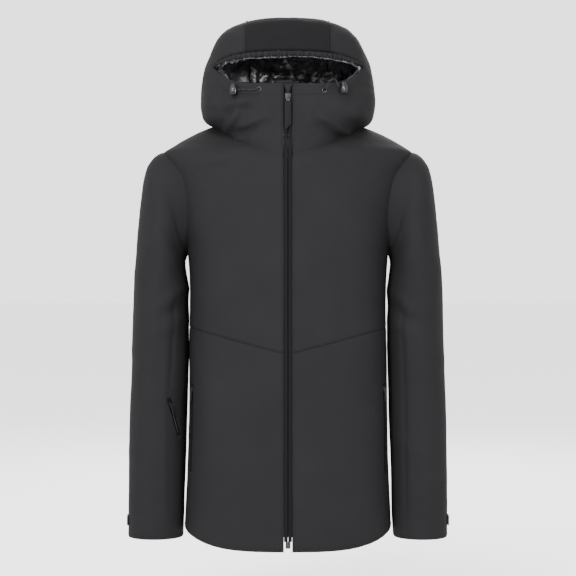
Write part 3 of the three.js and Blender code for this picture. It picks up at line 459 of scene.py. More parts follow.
# The hood's and the sleeves' outlines, which the body's panels are cut to.
HOOD_ROWS = [
    (-95, 92, -114, 60, 2.2), (-70, 96, -118, 67, 2.2), (-40, 101, -121.2, 74, 2.2), (-14, 120, -120.2, 84, 2.3),
    (2, 149, -119.5, 98, 2.4), (22, 158, -118.7, 122, 2.5), (46, 161, -117.8, 144, 2.5), (86.6, 157, -118, 155, 2.4),
    (114.8, 149, -121, 158, 2.4), (137.8, 138, -122, 148, 2.4), (159.6, 124, -116, 128, 2.3),
    (176.2, 101, -98, 98, 2.2), (185.2, 69, -70, 63, 2.1), (189, 30, -36, 24, 2), (190.4, 3, -9, -3, 2),
]
SLEEVE_ROWS = [  # mm: outer x and z, inner x and z, half depth, middle y
    (199, -56, 164, -222, 70, 2), (232, -59, 183, -238, 80, 2), (251, -76, 187, -246, 86, 1),
    (263, -103, 189, -253, 88, 0), (270, -144, 189, -260, 88, -1), (275, -195, 189, -270, 86, -2),
    (279, -250, 189, -288, 82, -3), (283, -310, 189, -322, 77, -5), (285, -407, 188, -407, 69, -8),
    (289, -508.5, 189, -508.5, 62, -12), (290, -618.7, 192, -618.7, 55, -19), (290, -751, 194, -751, 48, -28),
]
hood_at = smooth_rows(HOOD_ROWS)
sleeve_at = smooth_rows([(k, *row) for k, row in enumerate(SLEEVE_ROWS)])


def sleeve_grid(angles, rows, side):
    """Points on a sleeve: angle 0 is its outer edge, rows count the numbers in SLEEVE_ROWS."""
    top_x, top_z, low_x, low_z, half, y = np.moveaxis(sleeve_at(np.asarray(rows, float)), -1, 0)
    turn = np.asarray(angles)[:, None]
    x = (top_x + low_x) / 2 + (top_x - low_x) / 2 * np.cos(turn)
    z = (top_z + low_z) / 2 + (top_z - low_z) / 2 * np.cos(turn)
    return np.stack([side * x, y - side * half * np.sin(turn), z], -1)


def inside_rings(rows_at, points, margin, low, high):
    """Whether points are inside a stack of rings by more than a margin."""
    half, front, back, square = np.moveaxis(rows_at(points[..., 2]), -1, 0)
    across = np.abs(points[..., 0]) / np.maximum(half - margin, 1)
    deep = np.abs(points[..., 1] - (front + back) / 2) / np.maximum((back - front) / 2 - margin, 1)
    return (across**square + deep**square < 1) & (points[..., 2] > low) & (points[..., 2] < high)


def inside_sleeve(points, side, margin):
    """Whether points are inside the upper part of a sleeve by more than a margin."""
    rows = np.linspace(0, 8, 81)
    top_x, top_z, low_x, low_z, half, y = np.moveaxis(sleeve_at(rows), -1, 0)
    centre = np.stack([side * (top_x + low_x) / 2, y, (top_z + low_z) / 2], -1)
    reach = np.stack([side * (top_x - low_x) / 2, 0 * y, (top_z - low_z) / 2], -1)
    normal = np.cross(reach, (0, 1, 0))
    flat = points.reshape(-1, 3)
    size = np.linalg.norm(reach, axis=-1)
    past = ((flat[:, None] - centre[None]) * normal[None]).sum(-1) / size
    nearest = np.abs(past).argmin(1)
    offset = flat - centre[nearest]
    u = (offset * reach[nearest]).sum(-1) / size[nearest] / (size[nearest] - margin)
    v = offset[:, 1] / (half[nearest] - margin)
    inside = (u**2 + v**2 < 1) & (np.abs(past[np.arange(len(flat)), nearest]) < 60) & (nearest < 80)
    return inside.reshape(points.shape[:-1])


def quads_clear(hidden):
    """The quads of a grid that keep at least one point in the open."""
    return ~(hidden[:-1, :-1] & hidden[1:, :-1] & hidden[1:, 1:] & hidden[:-1, 1:])


def over_body(grid, margin):
    """The quads of a hood's grid that the body doesn't cover."""
    return quads_clear(inside_rings(torso_at, grid, margin, *BODY_LEVELS))

def mirrored(grid):
    """The same cloth on the wearer's right."""
    return grid[::-1] * (-1, 1, 1)


def front_angles(shares, height):
    """Angles from the zip's edge (share 0) to the side seam (share 1), at a height for each point."""
    return -angle_at(torso_at, ZIP_EDGE, height) * (1 - shares)

def front_points(rows_at, x, height):
    """Points on the front of a stack of rings, at distances either side of the centre line."""
    angle = -angle_at(rows_at, np.abs(x), height)
    return ring_points(rows_at, np.where(x < 0, -np.pi - angle, angle), height)

FRONT_FOLDS = {  # height, half width, line in x and z: soft drag folds that run from the neck and the arms
    "left": [
        (2.2, 13, [(60, -44), (110, -62), (150, -70)]), (-1.8, 12, [(70, -60), (120, -84), (165, -92)]),
        (1.6, 16, [(196, -150), (172, -120), (140, -104)]), (-1.4, 20, [(186, -215), (160, -185), (128, -165)]),
        (1.2, 26, [(60, -120), (70, -250), (76, -390)]), (-1.1, 30, [(120, -260), (118, -420), (110, -560)]),
        (1.3, 30, [(150, -460), (146, -600), (150, -740)]), (1.0, 26, [(40, -460), (52, -600), (48, -730)]),
    ],
    "right": [
        (2.2, 12, [(-60, -50), (-104, -66), (-150, -74)]), (-2.0, 11, [(-64, -64), (-112, -84), (-160, -90)]),
        (1.8, 15, [(-198, -146), (-176, -122), (-146, -108)]), (-1.2, 22, [(-188, -225), (-158, -190), (-124, -172)]),
        (1.2, 28, [(-54, -130), (-66, -260), (-60, -400)]), (-1.1, 30, [(-112, -250), (-124, -410), (-118, -560)]),
        (1.2, 28, [(-146, -450), (-150, -600), (-142, -735)]), (1.0, 30, [(-44, -450), (-40, -590), (-52, -740)]),
    ],
}


def relaxed(grid, strokes, pucker, seed, swell=1.5):
    """Cloth that isn't quite taut: its soft folds, its slow swells, and the pucker beside its seams."""
    lift = along_strokes(grid, strokes) + swell * swells(grid, (90, 90, 150), seed) + 0.3 * swells(grid, 22, seed + 9)
    lift = lift + 0.5 * swells(grid, (11, 11, 11), seed + 5) * np.exp(-pucker / 14)
    return grid + facing(grid) * lift[..., None]

def chevron_height(x):
    centre, side, reach = CHEVRON
    return centre + (side - centre) * np.clip(np.abs(x) / reach, 0, 1.2)


def hem_height(angle):
    s2 = np.sin(angle) ** 2
    rise = np.where(np.sin(angle) < 0, HEM_RISE_FRONT, HEM_RISE_BACK)
    return -760 + HEM_RISE_FRONT - rise * (1 - (1 - s2) ** 1.6)


def hidden_under(grid):
    """Points of a body panel that the hood or a sleeve covers."""
    hidden = inside_rings(hood_at, grid, 9, -96, 190)
    for way in (1, -1):
        hidden |= inside_sleeve(grid, way, 8)
    return hidden


# The pocket zips lie in slots that are cut through the cloth and bonded at their edges.
ZIPS = {  # foot in the frame in mm, the way in, the way up, half slot, length, body, CAD nodes, slot
    "front": ((0, -219.76, -769.6), (0, 0.9992, -0.03997), (0, 0.03997, 0.9992), 7.3, 798.1, "torso",
              ["zip_half_left", "zip_half_right"]),
    "pocket_left": ((174.94, -130.772, -647.6), (-0.9343, 0.35592, -0.02049), (-0.01438, 0.01981, 0.9997), 5.5, 160,
                    "torso", ["pocket_left_zip_tape"]),
    "pocket_right": ((-174.94, -130.772, -647.6), (0.9343, 0.35592, -0.02049), (0.01438, 0.01981, 0.9997), 5.5, 160,
                     "torso", ["pocket_right_zip_tape"]),
    "sleeve_pocket": ((-196.836, -119.919, -581.6), (-0.72807, 0.6855, 0.00261), (-0.22835, -0.24612, 0.94195), 4.5,
                      70.1, "arm_right", ["sleeve_pocket_zip_tape"]),
}


def standing_on(foot, inward, up):
    """Turns millimetres in a zip's own frame (across, in, up) into metres in the part's frame."""
    axes = np.array([np.cross(inward, up), inward, up])
    return lambda points: (np.asarray(points, float) @ axes + foot) / 1000


def slotted(mesh, zip_name):
    """The same sheet with a zip's slot cut through it."""
    foot, inward, up, half, length = ZIPS[zip_name][:5]
    x, y, z = np.meshgrid((-half, half), (-12, 9), (-0.4, length + 0.4), indexing="ij")
    corners = standing_on(foot, inward, up)(np.stack([x, y, z], -1).reshape(-1, 3))
    block = bpy.data.meshes.new("slot")
    sides = [(0, 1, 3, 2), (4, 6, 7, 5), (0, 4, 5, 1), (2, 3, 7, 6), (0, 2, 6, 4), (1, 5, 7, 3)]
    block.from_pydata(corners.tolist(), [], sides)
    work = bmesh.new()
    work.from_mesh(block)
    bmesh.ops.recalc_face_normals(work, faces=work.faces)
    work.to_mesh(block)
    work.free()
    pair = [bpy.data.objects.new("cut", data) for data in (mesh, block)]
    for each in pair:
        bpy.context.collection.objects.link(each)
    cut = pair[0].modifiers.new("slot", "BOOLEAN")
    cut.object, cut.operation, cut.solver = pair[1], "DIFFERENCE", "EXACT"
    done = bpy.data.meshes.new_from_object(pair[0].evaluated_get(bpy.context.evaluated_depsgraph_get()))
    for each in pair:
        bpy.data.objects.remove(each)
    return done


SIDES = {"left": 1, "right": -1}
FRONT = {}
shares = edged(84, 200)
seam_z = np.full(len(shares), -400.0)
for _ in range(4):
    seam_z = chevron_height(ring_points(torso_at, front_angles(shares, seam_z), seam_z)[:, 0])
hem_z = hem_height(front_angles(shares, np.full(len(shares), -500.0)))
top_z = np.full(len(shares), BODY_TOP_Z)
for side, way in SIDES.items():
    for part, low, high, count in (("lower", hem_z, seam_z, 96), ("upper", seam_z, top_z, 120)):
        height = low[:, None] + (high - low)[:, None] * edged(count, 360)
        grid = ring_points(torso_at, front_angles(shares[:, None], height), height)
        grid = grid if way > 0 else mirrored(grid)
        room = room_to_edges(grid, low=True, high=part == "lower")
        FRONT[side, part] = grid = relaxed(grid, FRONT_FOLDS[side], room, 3.0 + way)
        clear = quads_clear(hidden_under(grid)) if part == "upper" else None
        mesh = cloth_sheet(f"front_{part}_{side}", grid, SHELL_THICK, 0, 1.3, room, clear)
        if part == "lower":
            mesh = slotted(mesh, f"pocket_{side}")
        keep(mesh, f"shell_front_{part}_{side}", shell_cloth, "torso", [f"front_{part}_{side}"])

BACK = {}
BACK_FOLDS = [
    (2.5, 26, [(-70, -190), (-20, -330), (-40, -480)]), (2.2, 24, [(80, -200), (40, -340), (60, -520)]),
    (-2.0, 30, [(0, -250), (10, -420), (0, -640)]), (2.0, 26, [(-130, -420), (-120, -560), (-128, -720)]),
    (1.8, 28, [(120, -460), (132, -600), (124, -730)]), (1.8, 18, [(-180, -210), (-130, -200), (-90, -230)]),
    (1.8, 18, [(182, -205), (140, -192), (96, -222)]),
]
around_back = np.pi * edged(110, 480)
for part, low, high, count in (
    ("panel", hem_height(around_back), YOKE_SEAM_Z, 130),
    ("yoke", YOKE_SEAM_Z + np.zeros(len(around_back)), BODY_TOP_Z, 50),
):
    rise = edged(count, 560 if part == "panel" else 180)
    height = low[:, None] + (high - low)[:, None] * rise
    grid = ring_points(torso_at, around_back[:, None], height)
    room = room_to_edges(grid, low=True, high=part == "panel")
    BACK[part] = grid = relaxed(grid, BACK_FOLDS if part == "panel" else (), room, 8.0, 1.8)
    mesh = cloth_sheet(f"back_{part}", grid, SHELL_THICK, 0, 1.3, room, quads_clear(hidden_under(grid)))
    keep(mesh, f"shell_back_{part}", shell_cloth, "torso", [f"back_{part}"])


# ---------------------------------------------------------------- sleeves
# One tube of the same cloth each, set into the armhole, with a seam down the front of the forearm.
SLEEVE_FOLDS = {
    "left": [
        (-1.6, 2.4, [(205, -296), (209, -420), (212, -600), (212, -742)]),
        (1.0, 5, [(216, -320), (220, -520), (222, -740)]),
        (3.0, 9, [(192, -300), (212, -330), (236, -345)]), (2.6, 9, [(191, -352), (214, -378), (244, -384)]),
        (-2.4, 9, [(191, -326), (212, -354), (240, -364)]), (2.2, 10, [(284, -420), (262, -452), (226, -460)]),
        (2.0, 14, [(196, -262), (214, -240), (240, -200)]), (1.8, 14, [(276, -240), (262, -300), (256, -360)]),
        (1.8, 8, [(288, -690), (262, -704), (226, -700)]), (-1.6, 7, [(288, -708), (258, -722), (222, -716)]),
        (1.6, 10, [(194, -560), (222, -590), (258, -600)]), (1.6, 12, [(244, -90), (236, -140), (218, -190)]),
    ],
    "right": [
        (-1.6, 2.4, [(-205, -296), (-209, -400), (-213, -490)]), (1.0, 5, [(-218, -320), (-222, -520), (-222, -740)]),
        (2.8, 9, [(-192, -290), (-214, -322), (-240, -336)]), (2.8, 10, [(-191, -345), (-212, -372), (-246, -380)]),
        (-2.2, 9, [(-191, -318), (-212, -346), (-240, -356)]), (2.0, 12, [(-284, -400), (-260, -436), (-232, -446)]),
        (2.0, 14, [(-196, -262), (-212, -238), (-238, -196)]), (1.8, 14, [(-278, -250), (-264, -310), (-256, -370)]),
        (-2.4, 3.5, [(-289, -708), (-258, -700), (-222, -688)]), (2.0, 8, [(-288, -694), (-256, -686), (-226, -676)]),
        (1.4, 10, [(-288, -590), (-262, -610), (-240, -606)]), (1.6, 12, [(-246, -92), (-236, -144), (-218, -192)]),
    ],
}


def bend_with_arm(piece):
    """Bakes the piece's placement into its mesh."""
    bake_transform(piece)


CAP_ROWS, CAP_FULLNESS = (0, 1, 2.2, 4.5), (7.5, 7.0, 5.0, 0)  # the cap is eased in at the shoulder, mm
REST_LEVELS = (-751, -700, -520, -400, -300, -256)  # the hanging sleeve lies against the side, mm
REST_FULLNESS = (3.0, 5.0, 5.5, 6.5, 6.5, 0.0)

SLEEVE = {}
turns = np.linspace(0, 2 * np.pi, 97)[:-1]
for side, way in SIDES.items():
    span = edged(150, 700) * 11
    grid = sleeve_grid(turns, np.broadcast_to(span, (len(turns), len(span))), way)
    out = facing(grid, True)
    front = out[..., 1] < 0.25
    lift = along_strokes(grid, SLEEVE_FOLDS[side]) * front
    behind = [(h, w, [(x, z - 30) for x, z in line]) for h, w, line in SLEEVE_FOLDS[side][2:]]
    lift += along_strokes(grid, behind) * ~front
    lift += (1.6 * swells(grid, (70, 70, 110), 20.0 + way) + 0.3 * swells(grid, 20, 4.0)) * np.clip(span / 2, 0, 1)
    lift += np.interp(span, CAP_ROWS, CAP_FULLNESS) * np.clip(1.5 * out[..., 2] + 0.2, 0, 1)
    lift += np.interp(grid[..., 2], REST_LEVELS, REST_FULLNESS) * np.clip(-way * out[..., 0], 0, 1) ** 2
    grid = grid + out * lift[..., None]
    hidden = inside_rings(torso_at, grid, 5, *BODY_LEVELS)
    clear = quads_clear(np.vstack([hidden, hidden[:1]]))
    SLEEVE[side] = grid, clear
    room = room_to_edges(grid, first=False, last=False, low=False, high=True)
    mesh = cloth_sheet(f"sleeve_{side}", grid, SHELL_THICK, 0, 1.2, room, clear, around=True)
    if side == "right":
        mesh = slotted(mesh, "sleeve_pocket")
    piece = keep(mesh, f"shell_sleeve_{side}", shell_cloth, None, [f"sleeve_{side}"])
    bend_with_arm(piece)


# ---------------------------------------------------------------- hood and collar
# Fixed three-panel hood cut in one with the collar: two sides that run down to the zip, and a
# centre panel from the face opening over the crown to the back neck. The cloth folds at the neck.
COLLAR_LOW, FACE_CORNER_X, FACE_CORNER_Z = -84, 136, 97
FACE_UP, FACE_DOWN = 10, 36  # how far the face opening rises and drops from its corners, mm
BRIM = 11  # drawcord channel
SEAM_X = 76  # crown seams
HOOD_FOLDS = [
    (5.0, 8, [(-118, 16), (-100, 29), (-80, 31), (-60, 28)]), (-4.5, 7, [(-116, 2), (-100, 14), (-80, 17), (-62, 14)]),
    (5.5, 8, [(-84, 30), (-92, 11), (-100, -5), (-116, -18)]), (-3.5, 7, [(-76, 14), (-86, -4), (-98, -18)]),
    (4.5, 7, [(-108, -14), (-74, -10), (-55, -3), (-36, 3)]), (-4.0, 6, [(-96, -25), (-70, -22), (-48, -14)]),
    (3.5, 7, [(-116, -18), (-96, -30), (-80, -38)]), (2.0, 9, [(-52, 44), (-36, 20), (-28, -10)]),
    (5.5, 8, [(58, 14), (63, -2), (75, -10), (86, -17), (98, -22), (112, -22), (136, -17)]),
    (-4.5, 7, [(52, -2), (66, -16), (84, -27), (104, -32)]), (-2.0, 8, [(76, 8), (92, -1), (112, -5), (134, -2)]),
    (3.0, 9, [(48, 36), (40, 12), (44, -18)]), (2.5, 9, [(112, 30), (124, 12), (140, 4)]),
    (3.0, 10, [(150, 60), (140, 34), (118, 18)]), (3.0, 10, [(-152, 58), (-140, 32), (-122, 18)]),
    (-2.5, 9, [(148, 90), (136, 66), (112, 50)]), (-2.5, 9, [(-150, 88), (-138, 64), (-116, 48)]),
    (2.0, 14, [(96, 170), (120, 140), (132, 116)]), (2.0, 14, [(-100, 168), (-122, 138), (-134, 116)]),
    (2.0, 16, [(-40, 150), (0, 158), (44, 150)]), (-1.6, 14, [(-50, 134), (0, 140), (50, 133)]),
]
HOOD_TOP_Z = 190.4


def face_edges(x):
    """The face opening's lower and upper edge, and its brim's width, at a distance from the centre line."""
    t = np.clip(np.abs(x) / FACE_CORNER_X, 0, 1)
    return (
        FACE_CORNER_Z - FACE_DOWN * (1 - t**5), FACE_CORNER_Z + FACE_UP * (1 - t**3), BRIM * np.sqrt(1 - t**6),
    )


def gathers(points):
    """The small gathers that the drawcord makes along the brim, fading up into the crown."""
    x = points[..., 0]
    low, high, wide = face_edges(x)
    above = points[..., 2] - high
    wave = np.sin(x * 0.72 + 2.1 * np.sin(x / 17)) + 0.6 * np.sin(x * 1.31 + 1.7 * np.sin(x / 11 + 1))
    near = np.exp(-np.clip(above - 4, 0, 200) / 11) * np.clip(above / 2 + 1.5, 0, 1)
    near = near * (points[..., 1] < 0) * (np.abs(x) < FACE_CORNER_X)
    return 1.25 * wave * near * np.clip(wide / BRIM, 0, 1)


def hood_cloth(grid):
    """The hood's cloth, with its folds, its swells and the gathers at its brim."""
    out = facing(grid)
    front = grid[..., 1] < 20
    lift = along_strokes(grid, HOOD_FOLDS) * front + 2.2 * swells(grid, (60, 60, 50), 31.0)
    lift += 0.5 * swells(grid, 17, 12.0) + gathers(grid)
    back = [(3, 14, [(-70, 10), (-30, 24), (20, 20), (64, 8)]), (-2.5, 14, [(-80, -16), (0, -4), (80, -14)]),
            (2.5, 16, [(-110, 40), (-60, 64), (-20, 66)]), (2.5, 16, [(100, 36), (56, 60), (10, 60)])]
    lift += along_strokes(grid, back) * ~front
    return grid + out * lift[..., None]


def side_panels(brim, low=COLLAR_LOW, inner=ZIP_EDGE, fine=1.0):
    """One side of the hood: a grid from the neck to the face opening, and one over the opening's corner."""
    corner = np.array([FACE_CORNER_Z])
    back = angle_at(hood_at, SEAM_X, corner)[0]
    seam, tip, edge = (-angle_at(hood_at, x, corner)[0] for x in (SEAM_X, FACE_CORNER_X, inner))
    beyond = tip + (back - tip) * edged(int(76 * fine), 330)
    over = np.concatenate([seam + (tip - seam) * edged(int(18 * fine), 70)[:-1], beyond])
    under = np.concatenate([edge + (tip - edge) * edged(int(40 * fine), 150)[:-1], beyond])

    def columns(bottom_angles, x_start, height):
        start, last = -angle_at(hood_at, x_start, height), angle_at(hood_at, SEAM_X, height)
        first = bottom_angles[0]
        share = ((bottom_angles - first) / (back - first))[:, None]
        return start + (last - start) * share

    rim = np.full(len(under), FACE_CORNER_Z)
    top = np.full(len(over), FACE_CORNER_Z)
    for _ in range(5):
        x = ring_points(hood_at, columns(under, inner, rim[:, None])[np.arange(len(under)), 0], rim)[:, 0]
        rim = np.where(under < tip, face_edges(x)[0], FACE_CORNER_Z)
        x = ring_points(hood_at, columns(over, SEAM_X, top[:, None])[np.arange(len(over)), 0], top)[:, 0]
        _, up, wide = face_edges(x)
        top = np.where(over < tip, up + wide * brim, FACE_CORNER_Z)
    rise = edged(int(64 * fine), 170)
    height = low + (rim[:, None] - low) * rise
    lower = ring_points(hood_at, columns(under, inner, height), height)
    peak = float(np.interp(-SEAM_X, -hood_at(np.linspace(60, HOOD_TOP_Z, 600))[:, 0], np.linspace(60, HOOD_TOP_Z, 600)))
    rise = edged(int(44 * fine), 100)
    height = peak - 0.02 - (peak - top[:, None]) * (1 - rise) ** 2
    upper = ring_points(hood_at, columns(over, SEAM_X, height), height)
    return lower, upper, under < tip, over < tip


def centre_panel(brim, low=COLLAR_LOW, fine=1.0):
    """The hood's centre: columns across, rows from the face opening over the crown to the back neck."""
    x = SEAM_X * (2 * edged(int(46 * fine), 2 * SEAM_X) - 1)
    heights = np.linspace(60, HOOD_TOP_Z, 900)
    peak = np.interp(-np.abs(x), -hood_at(heights)[:, 0], heights) - 0.02
    _, up, wide = face_edges(x)
    ways = []
    for end, sign, count, length in ((up + wide * brim, -1, 60, 130), (np.full(len(x), float(low)), 1, 110, 330)):
        s = edged(int(count * fine), length)[:, None]
        height = (peak - (peak - end) * s**2).T
        across = np.broadcast_to(x[:, None], height.shape)
        angle = sign * angle_at(hood_at, np.abs(across), height)
        angle = np.where(across < 0, sign * np.pi - angle, angle)
        ways.append(ring_points(hood_at, angle, height))
    return np.concatenate([ways[0][:, ::-1], ways[1][:, 1:]], axis=1)


def tilt_with_crown(piece):
    """Bakes the piece's placement into its mesh."""
    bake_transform(piece)


HOOD = {}
lower, upper, open_low, open_high = side_panels(1.0)
for side, way in SIDES.items():
    sheets = []
    for part, grid, open_edge in (("lower", lower, open_low), ("upper", upper, open_high)):
        low_edge, high_edge = (False, open_edge) if part == "lower" else (open_edge, True)
        room = room_to_edges(grid, low=low_edge, high=high_edge)
        if way < 0:
            grid, room = mirrored(grid), room[::-1]
        HOOD[side, part] = grid = hood_cloth(grid)
        clear = over_body(grid, 4) if part == "lower" else None
        sheets.append(cloth_sheet(f"hood_{part}", grid, SHELL_THICK, 0, 1.4, room, clear))
    piece = keep(weld(f"hood_{side}", sheets), f"shell_hood_{side}", shell_cloth, None,
                 [f"collar_{side}", f"crown_{side}"])
    tilt_with_crown(piece)

HOOD["centre"] = grid = hood_cloth(centre_panel(1.0))
room = room_to_edges(grid, high=False)
clear = over_body(grid, 4)
# The centre panel wears the darker copy of the shell cloth: painted shade over the crown.
piece = keep(cloth_sheet("hood_centre", grid, SHELL_THICK, 0, 1.4, room, clear), "shell_hood_centre",
             shell_cloth_painted_shade, None, ["crown_centre", "collar_back"])
tilt_with_crown(piece)

# The brim is a turned channel that the drawcord gathers.
across = np.linspace(-FACE_CORNER_X, FACE_CORNER_X, 321)
_, brim_low, brim_wide = face_edges(across)
rise = edged(9, 12)
grid = front_points(hood_at, across[:, None], brim_low[:, None] + brim_wide[:, None] * rise)
out = facing(grid)
puff = 1.8 * np.sin(np.pi * rise) ** 0.6
grid = grid + out * (gathers(grid) * 1.15 + 2.2 * swells(grid, (60, 60, 50), 31.0) + puff)[..., None]
room = room_to_edges(grid, first=False, last=False)
brim = keep(cloth_sheet("brim", grid, 5.5, 0, 1.6, room), "shell_hood_brim", shell_cloth, None, ["hood_brim"])
tilt_with_crown(brim)


# ---------------------------------------------------------------- hood lining
# Black satin taffeta, sewn in along the face opening and left loose, so that it creases sharply.
satin, shader = new_finish("polyester_satin_black", Roughness=0.33, Specular_IOR_Level=1.0, Anisotropic=0.4)
solid_at = node(satin, "ShaderNodeTexCoord").outputs["Object"]
cloud = node(satin, "ShaderNodeTexNoise", {"Scale": 45, "Detail": 5, "Roughness": 0.6}, {"Vector": solid_at})
ribs = node(satin, "ShaderNodeTexNoise", {"Scale": 1400, "Detail": 2}, {"Vector": solid_at})
wire(satin, shader, two_tone(satin, cloud.outputs["Fac"], "#232327", "#3E3E44", 0.3, 0.8), bump=ribs.outputs["Fac"],
     depth=0.00002)
LINING_DEPTH, LINING_THICK = 5.8, 1.4


CREASE_SEED = 5.0
SLACK, SLACK_RUN = 11.0, 26  # how loose the satin is, and how far from a sewn edge it is fully loose, mm

def creased(grid, depth):
    """Loose thin cloth: sharp ridges and slack between them, always inside its seam line."""
    ridges = sum(
        share * (1 - np.abs(swells(grid, size, CREASE_SEED + size[0])) * 2.4).clip(0, 1) ** 1.6
        for share, size in ((0.6, (58, 58, 90)), (0.28, (28, 28, 44)), (0.12, (13, 13, 17)))
    )
    return grid - facing(grid) * (depth * ridges + 1.5)[..., None]

def lining_panel(grid, meets_body, *sewn):
    """One panel of the lining, loose away from its sewn edges: first, last, low and high."""
    slack = SLACK * np.clip(room_to_edges(grid, *sewn) / SLACK_RUN, 0, 1)
    grid = creased(hood_cloth(grid), slack)
    clear = over_body(grid, -2) if meets_body else None
    return cloth_sheet("lining", grid, LINING_THICK, LINING_DEPTH, 0, None, clear)

sheets = []
lower, upper, open_low, open_high = side_panels(0.0, -60, 9.3, 1.3)
for way in (1, -1):
    for grid, meets_body, low, high in ((lower, True, False, open_low), (upper, False, open_high, False)):
        sheets.append(lining_panel(grid if way > 0 else mirrored(grid), meets_body, True, False, low, high))
sheets.append(lining_panel(centre_panel(0.0, -60, 1.3), True, False, False, True, False))
piece = keep(weld("hood_lining", sheets), "lining_hood", satin, None, ["collar_lining", "crown_lining"])
tilt_with_crown(piece)


# ---------------------------------------------------------------- chin guard and zip garage
# A soft facing behind the top of the zip stands a little over the collar's edge, and a folded
# tab of the shell cloth sewn over the zip's top end keeps the slider off the chin.
GUARD_FOOT, GUARD_TOP = -28, 65.2  # mm
across = np.linspace(-26, 20, 47)[:, None]
top = GUARD_TOP + 1.2 * np.sin((across + 26) / 46 * np.pi) - 2.6 * np.clip((across - 8) / 4, 0, 1)
height = GUARD_FOOT + (top - GUARD_FOOT) * edged(26, 90)
grid = front_points(hood_at, across, height)
grid[..., 1] -= np.clip((height - 52) / 10, 0, 1) * 5.4  # its top edge rolls forward over the collar's edge
room = room_to_edges(grid)
mesh = cloth_sheet("guard", grid, 1.6, 7.6, 0.6, room)
keep(mesh, "chin_guard_facing", shell_cloth, "torso", ["chin_guard"])

GARAGE = [(-9.5, 59.5), (-3.6, 45.0), (3.9, 45.6), (10.5, 59.8)]  # left and right edge, foot to head, in x and z
share = np.linspace(0, 1, 19)
foot = np.array(GARAGE[1]) + (np.array(GARAGE[2]) - GARAGE[1]) * share[:, None]
head = np.array(GARAGE[0]) + (np.array(GARAGE[3]) - GARAGE[0]) * share[:, None]
up = np.linspace(0, 1, 17)[None, :, None]
flat = foot[:, None] + (head - foot)[:, None] * up
flat[..., 0] += 1.2 * np.sin(up[..., 0] * 3) * (share[:, None] - 0.5) * -2
bulge = 1.0 * np.sin(np.pi * share)[:, None] ** 0.5 + 0.5 * np.sin(flat[..., 1] * 0.9 + flat[..., 0] * 0.25)
grid = np.stack([flat[..., 0], -150 + (flat[..., 1] + 760) * 0.04 - 2.2 - bulge, flat[..., 1]], -1)
room = room_to_edges(grid)
keep(cloth_sheet("garage", grid, 1.2, 0, 0.8, room), "zip_garage_tab", shell_cloth, "torso", ["zip_garage"])


# ---------------------------------------------------------------- body layers
# Under the shell: polyester wadding, a satin body lining that it is quilted to, a storm flap behind
# the zip, and warm pocket bags of brushed tricot behind the hand pockets.
INSULATION = (2.4, 4.6)  # depth under the shell's face, and thickness, mm
LINING = (7.4, 1.4)
ZIP_ROOM = 9.5  # the layers end this far from the centre line
FACING_Z = -732  # the lining stops at the hem facing

# Carded polyester wadding: soft, white, without a shine, all short fibres.
wadding = patterned(
    "polyester_wadding_white", "ShaderNodeTexNoise", {"Scale": 420, "Detail": 6, "Distortion": 1.5},
    "#C9C9C4", "#ECECE8", 0.0006, Roughness=0.95, Sheen_Weight=0.4, Specular_IOR_Level=0.2,
)

# Brushed polyester tricot: near-black, with a soft short pile.
tricot = patterned(
    "polyester_tricot_brushed", "ShaderNodeTexNoise", {"Scale": 900, "Detail": 3}, "#0E0E0F", "#1C1C1E", 0.0002,
    Roughness=0.9, Sheen_Weight=0.5, Sheen_Roughness=0.4,
)

def joined(low, high):
    """Two grids of one panel as one, from the lower's foot to the upper's top."""
    return np.concatenate([low[:, :-1], high], axis=1)


def quilting(grid):
    """How far the lining pulls in along its quilted channels, every 90 mm."""
    return 2.2 * np.abs(np.sin(grid[..., 2] * np.pi / 90)) ** 0.4 - 2.2


BODY = {side: joined(FRONT[side, "lower"], FRONT[side, "upper"]) for side in SIDES}
BODY["back"] = joined(BACK["panel"], BACK["yoke"])
for part, grid in BODY.items():
    coarse, at_back = grid[::2, ::2], part == "back"
    clear = quads_clear(hidden_under(coarse) | (coarse[..., 2] < FACING_Z))
    if not at_back:
        near_zip = np.abs(coarse[..., 0]) < ZIP_ROOM
        clear &= ~(near_zip[:-1, :-1] | near_zip[1:, 1:])
    stem, tail = ("back", "") if at_back else ("front", f"_{part}")
    mesh = cloth_sheet("wadding", coarse, INSULATION[1], INSULATION[0], 0, None, clear)
    pad = keep(mesh, f"wadding_{part}", wadding, "torso", [f"{stem}_insulation{tail}"])
    mesh = cloth_sheet("lining", coarse, LINING[1], LINING[0] - quilting(coarse) * 0.4, 0, None, clear)
    keep(mesh, f"lining_{part}", satin, "torso", [f"{stem}_lining{tail}"])

for side, way in SIDES.items():
    grid = BODY[side][::2, ::2]
    x, z = way * grid[..., 0], grid[..., 2]
    sloped = (x > 60) & (x < 154) & (z > -672) & (z < -447) & (z > -672 + 0.6 * np.clip(90 - x, 0, 40))
    mesh = cloth_sheet("bag", grid, 1.6, 9.2, 0, None, sloped[:-1, :-1] & sloped[1:, 1:])
    keep(mesh, f"pocket_bag_{side}_tricot", tricot, "torso", [f"pocket_bag_{side}"])

across, height = np.meshgrid(np.linspace(-24, 24, 25), np.linspace(-720, -95, 160), indexing="ij")
grid = front_points(torso_at, across, height)
grid[..., 1] += 0.8 * swells(grid, (30, 30, 60), 2.0)
keep(cloth_sheet("flap", grid, 1.6, 9.6, 0.8, room_to_edges(grid)), "storm_flap_facing", shell_cloth, "torso",
     ["storm_flap"])

for side, way in SIDES.items():
    grid, clear = SLEEVE[side]
    room = room_to_edges(grid, False, False, False, True)
    lining = cloth_sheet("lining", grid, 6.4, 2.4, 2.0, room, clear, around=True)
    piece = keep(lining, f"lining_sleeve_{side}", satin, None, [f"sleeve_lining_{side}"])
    bend_with_arm(piece)


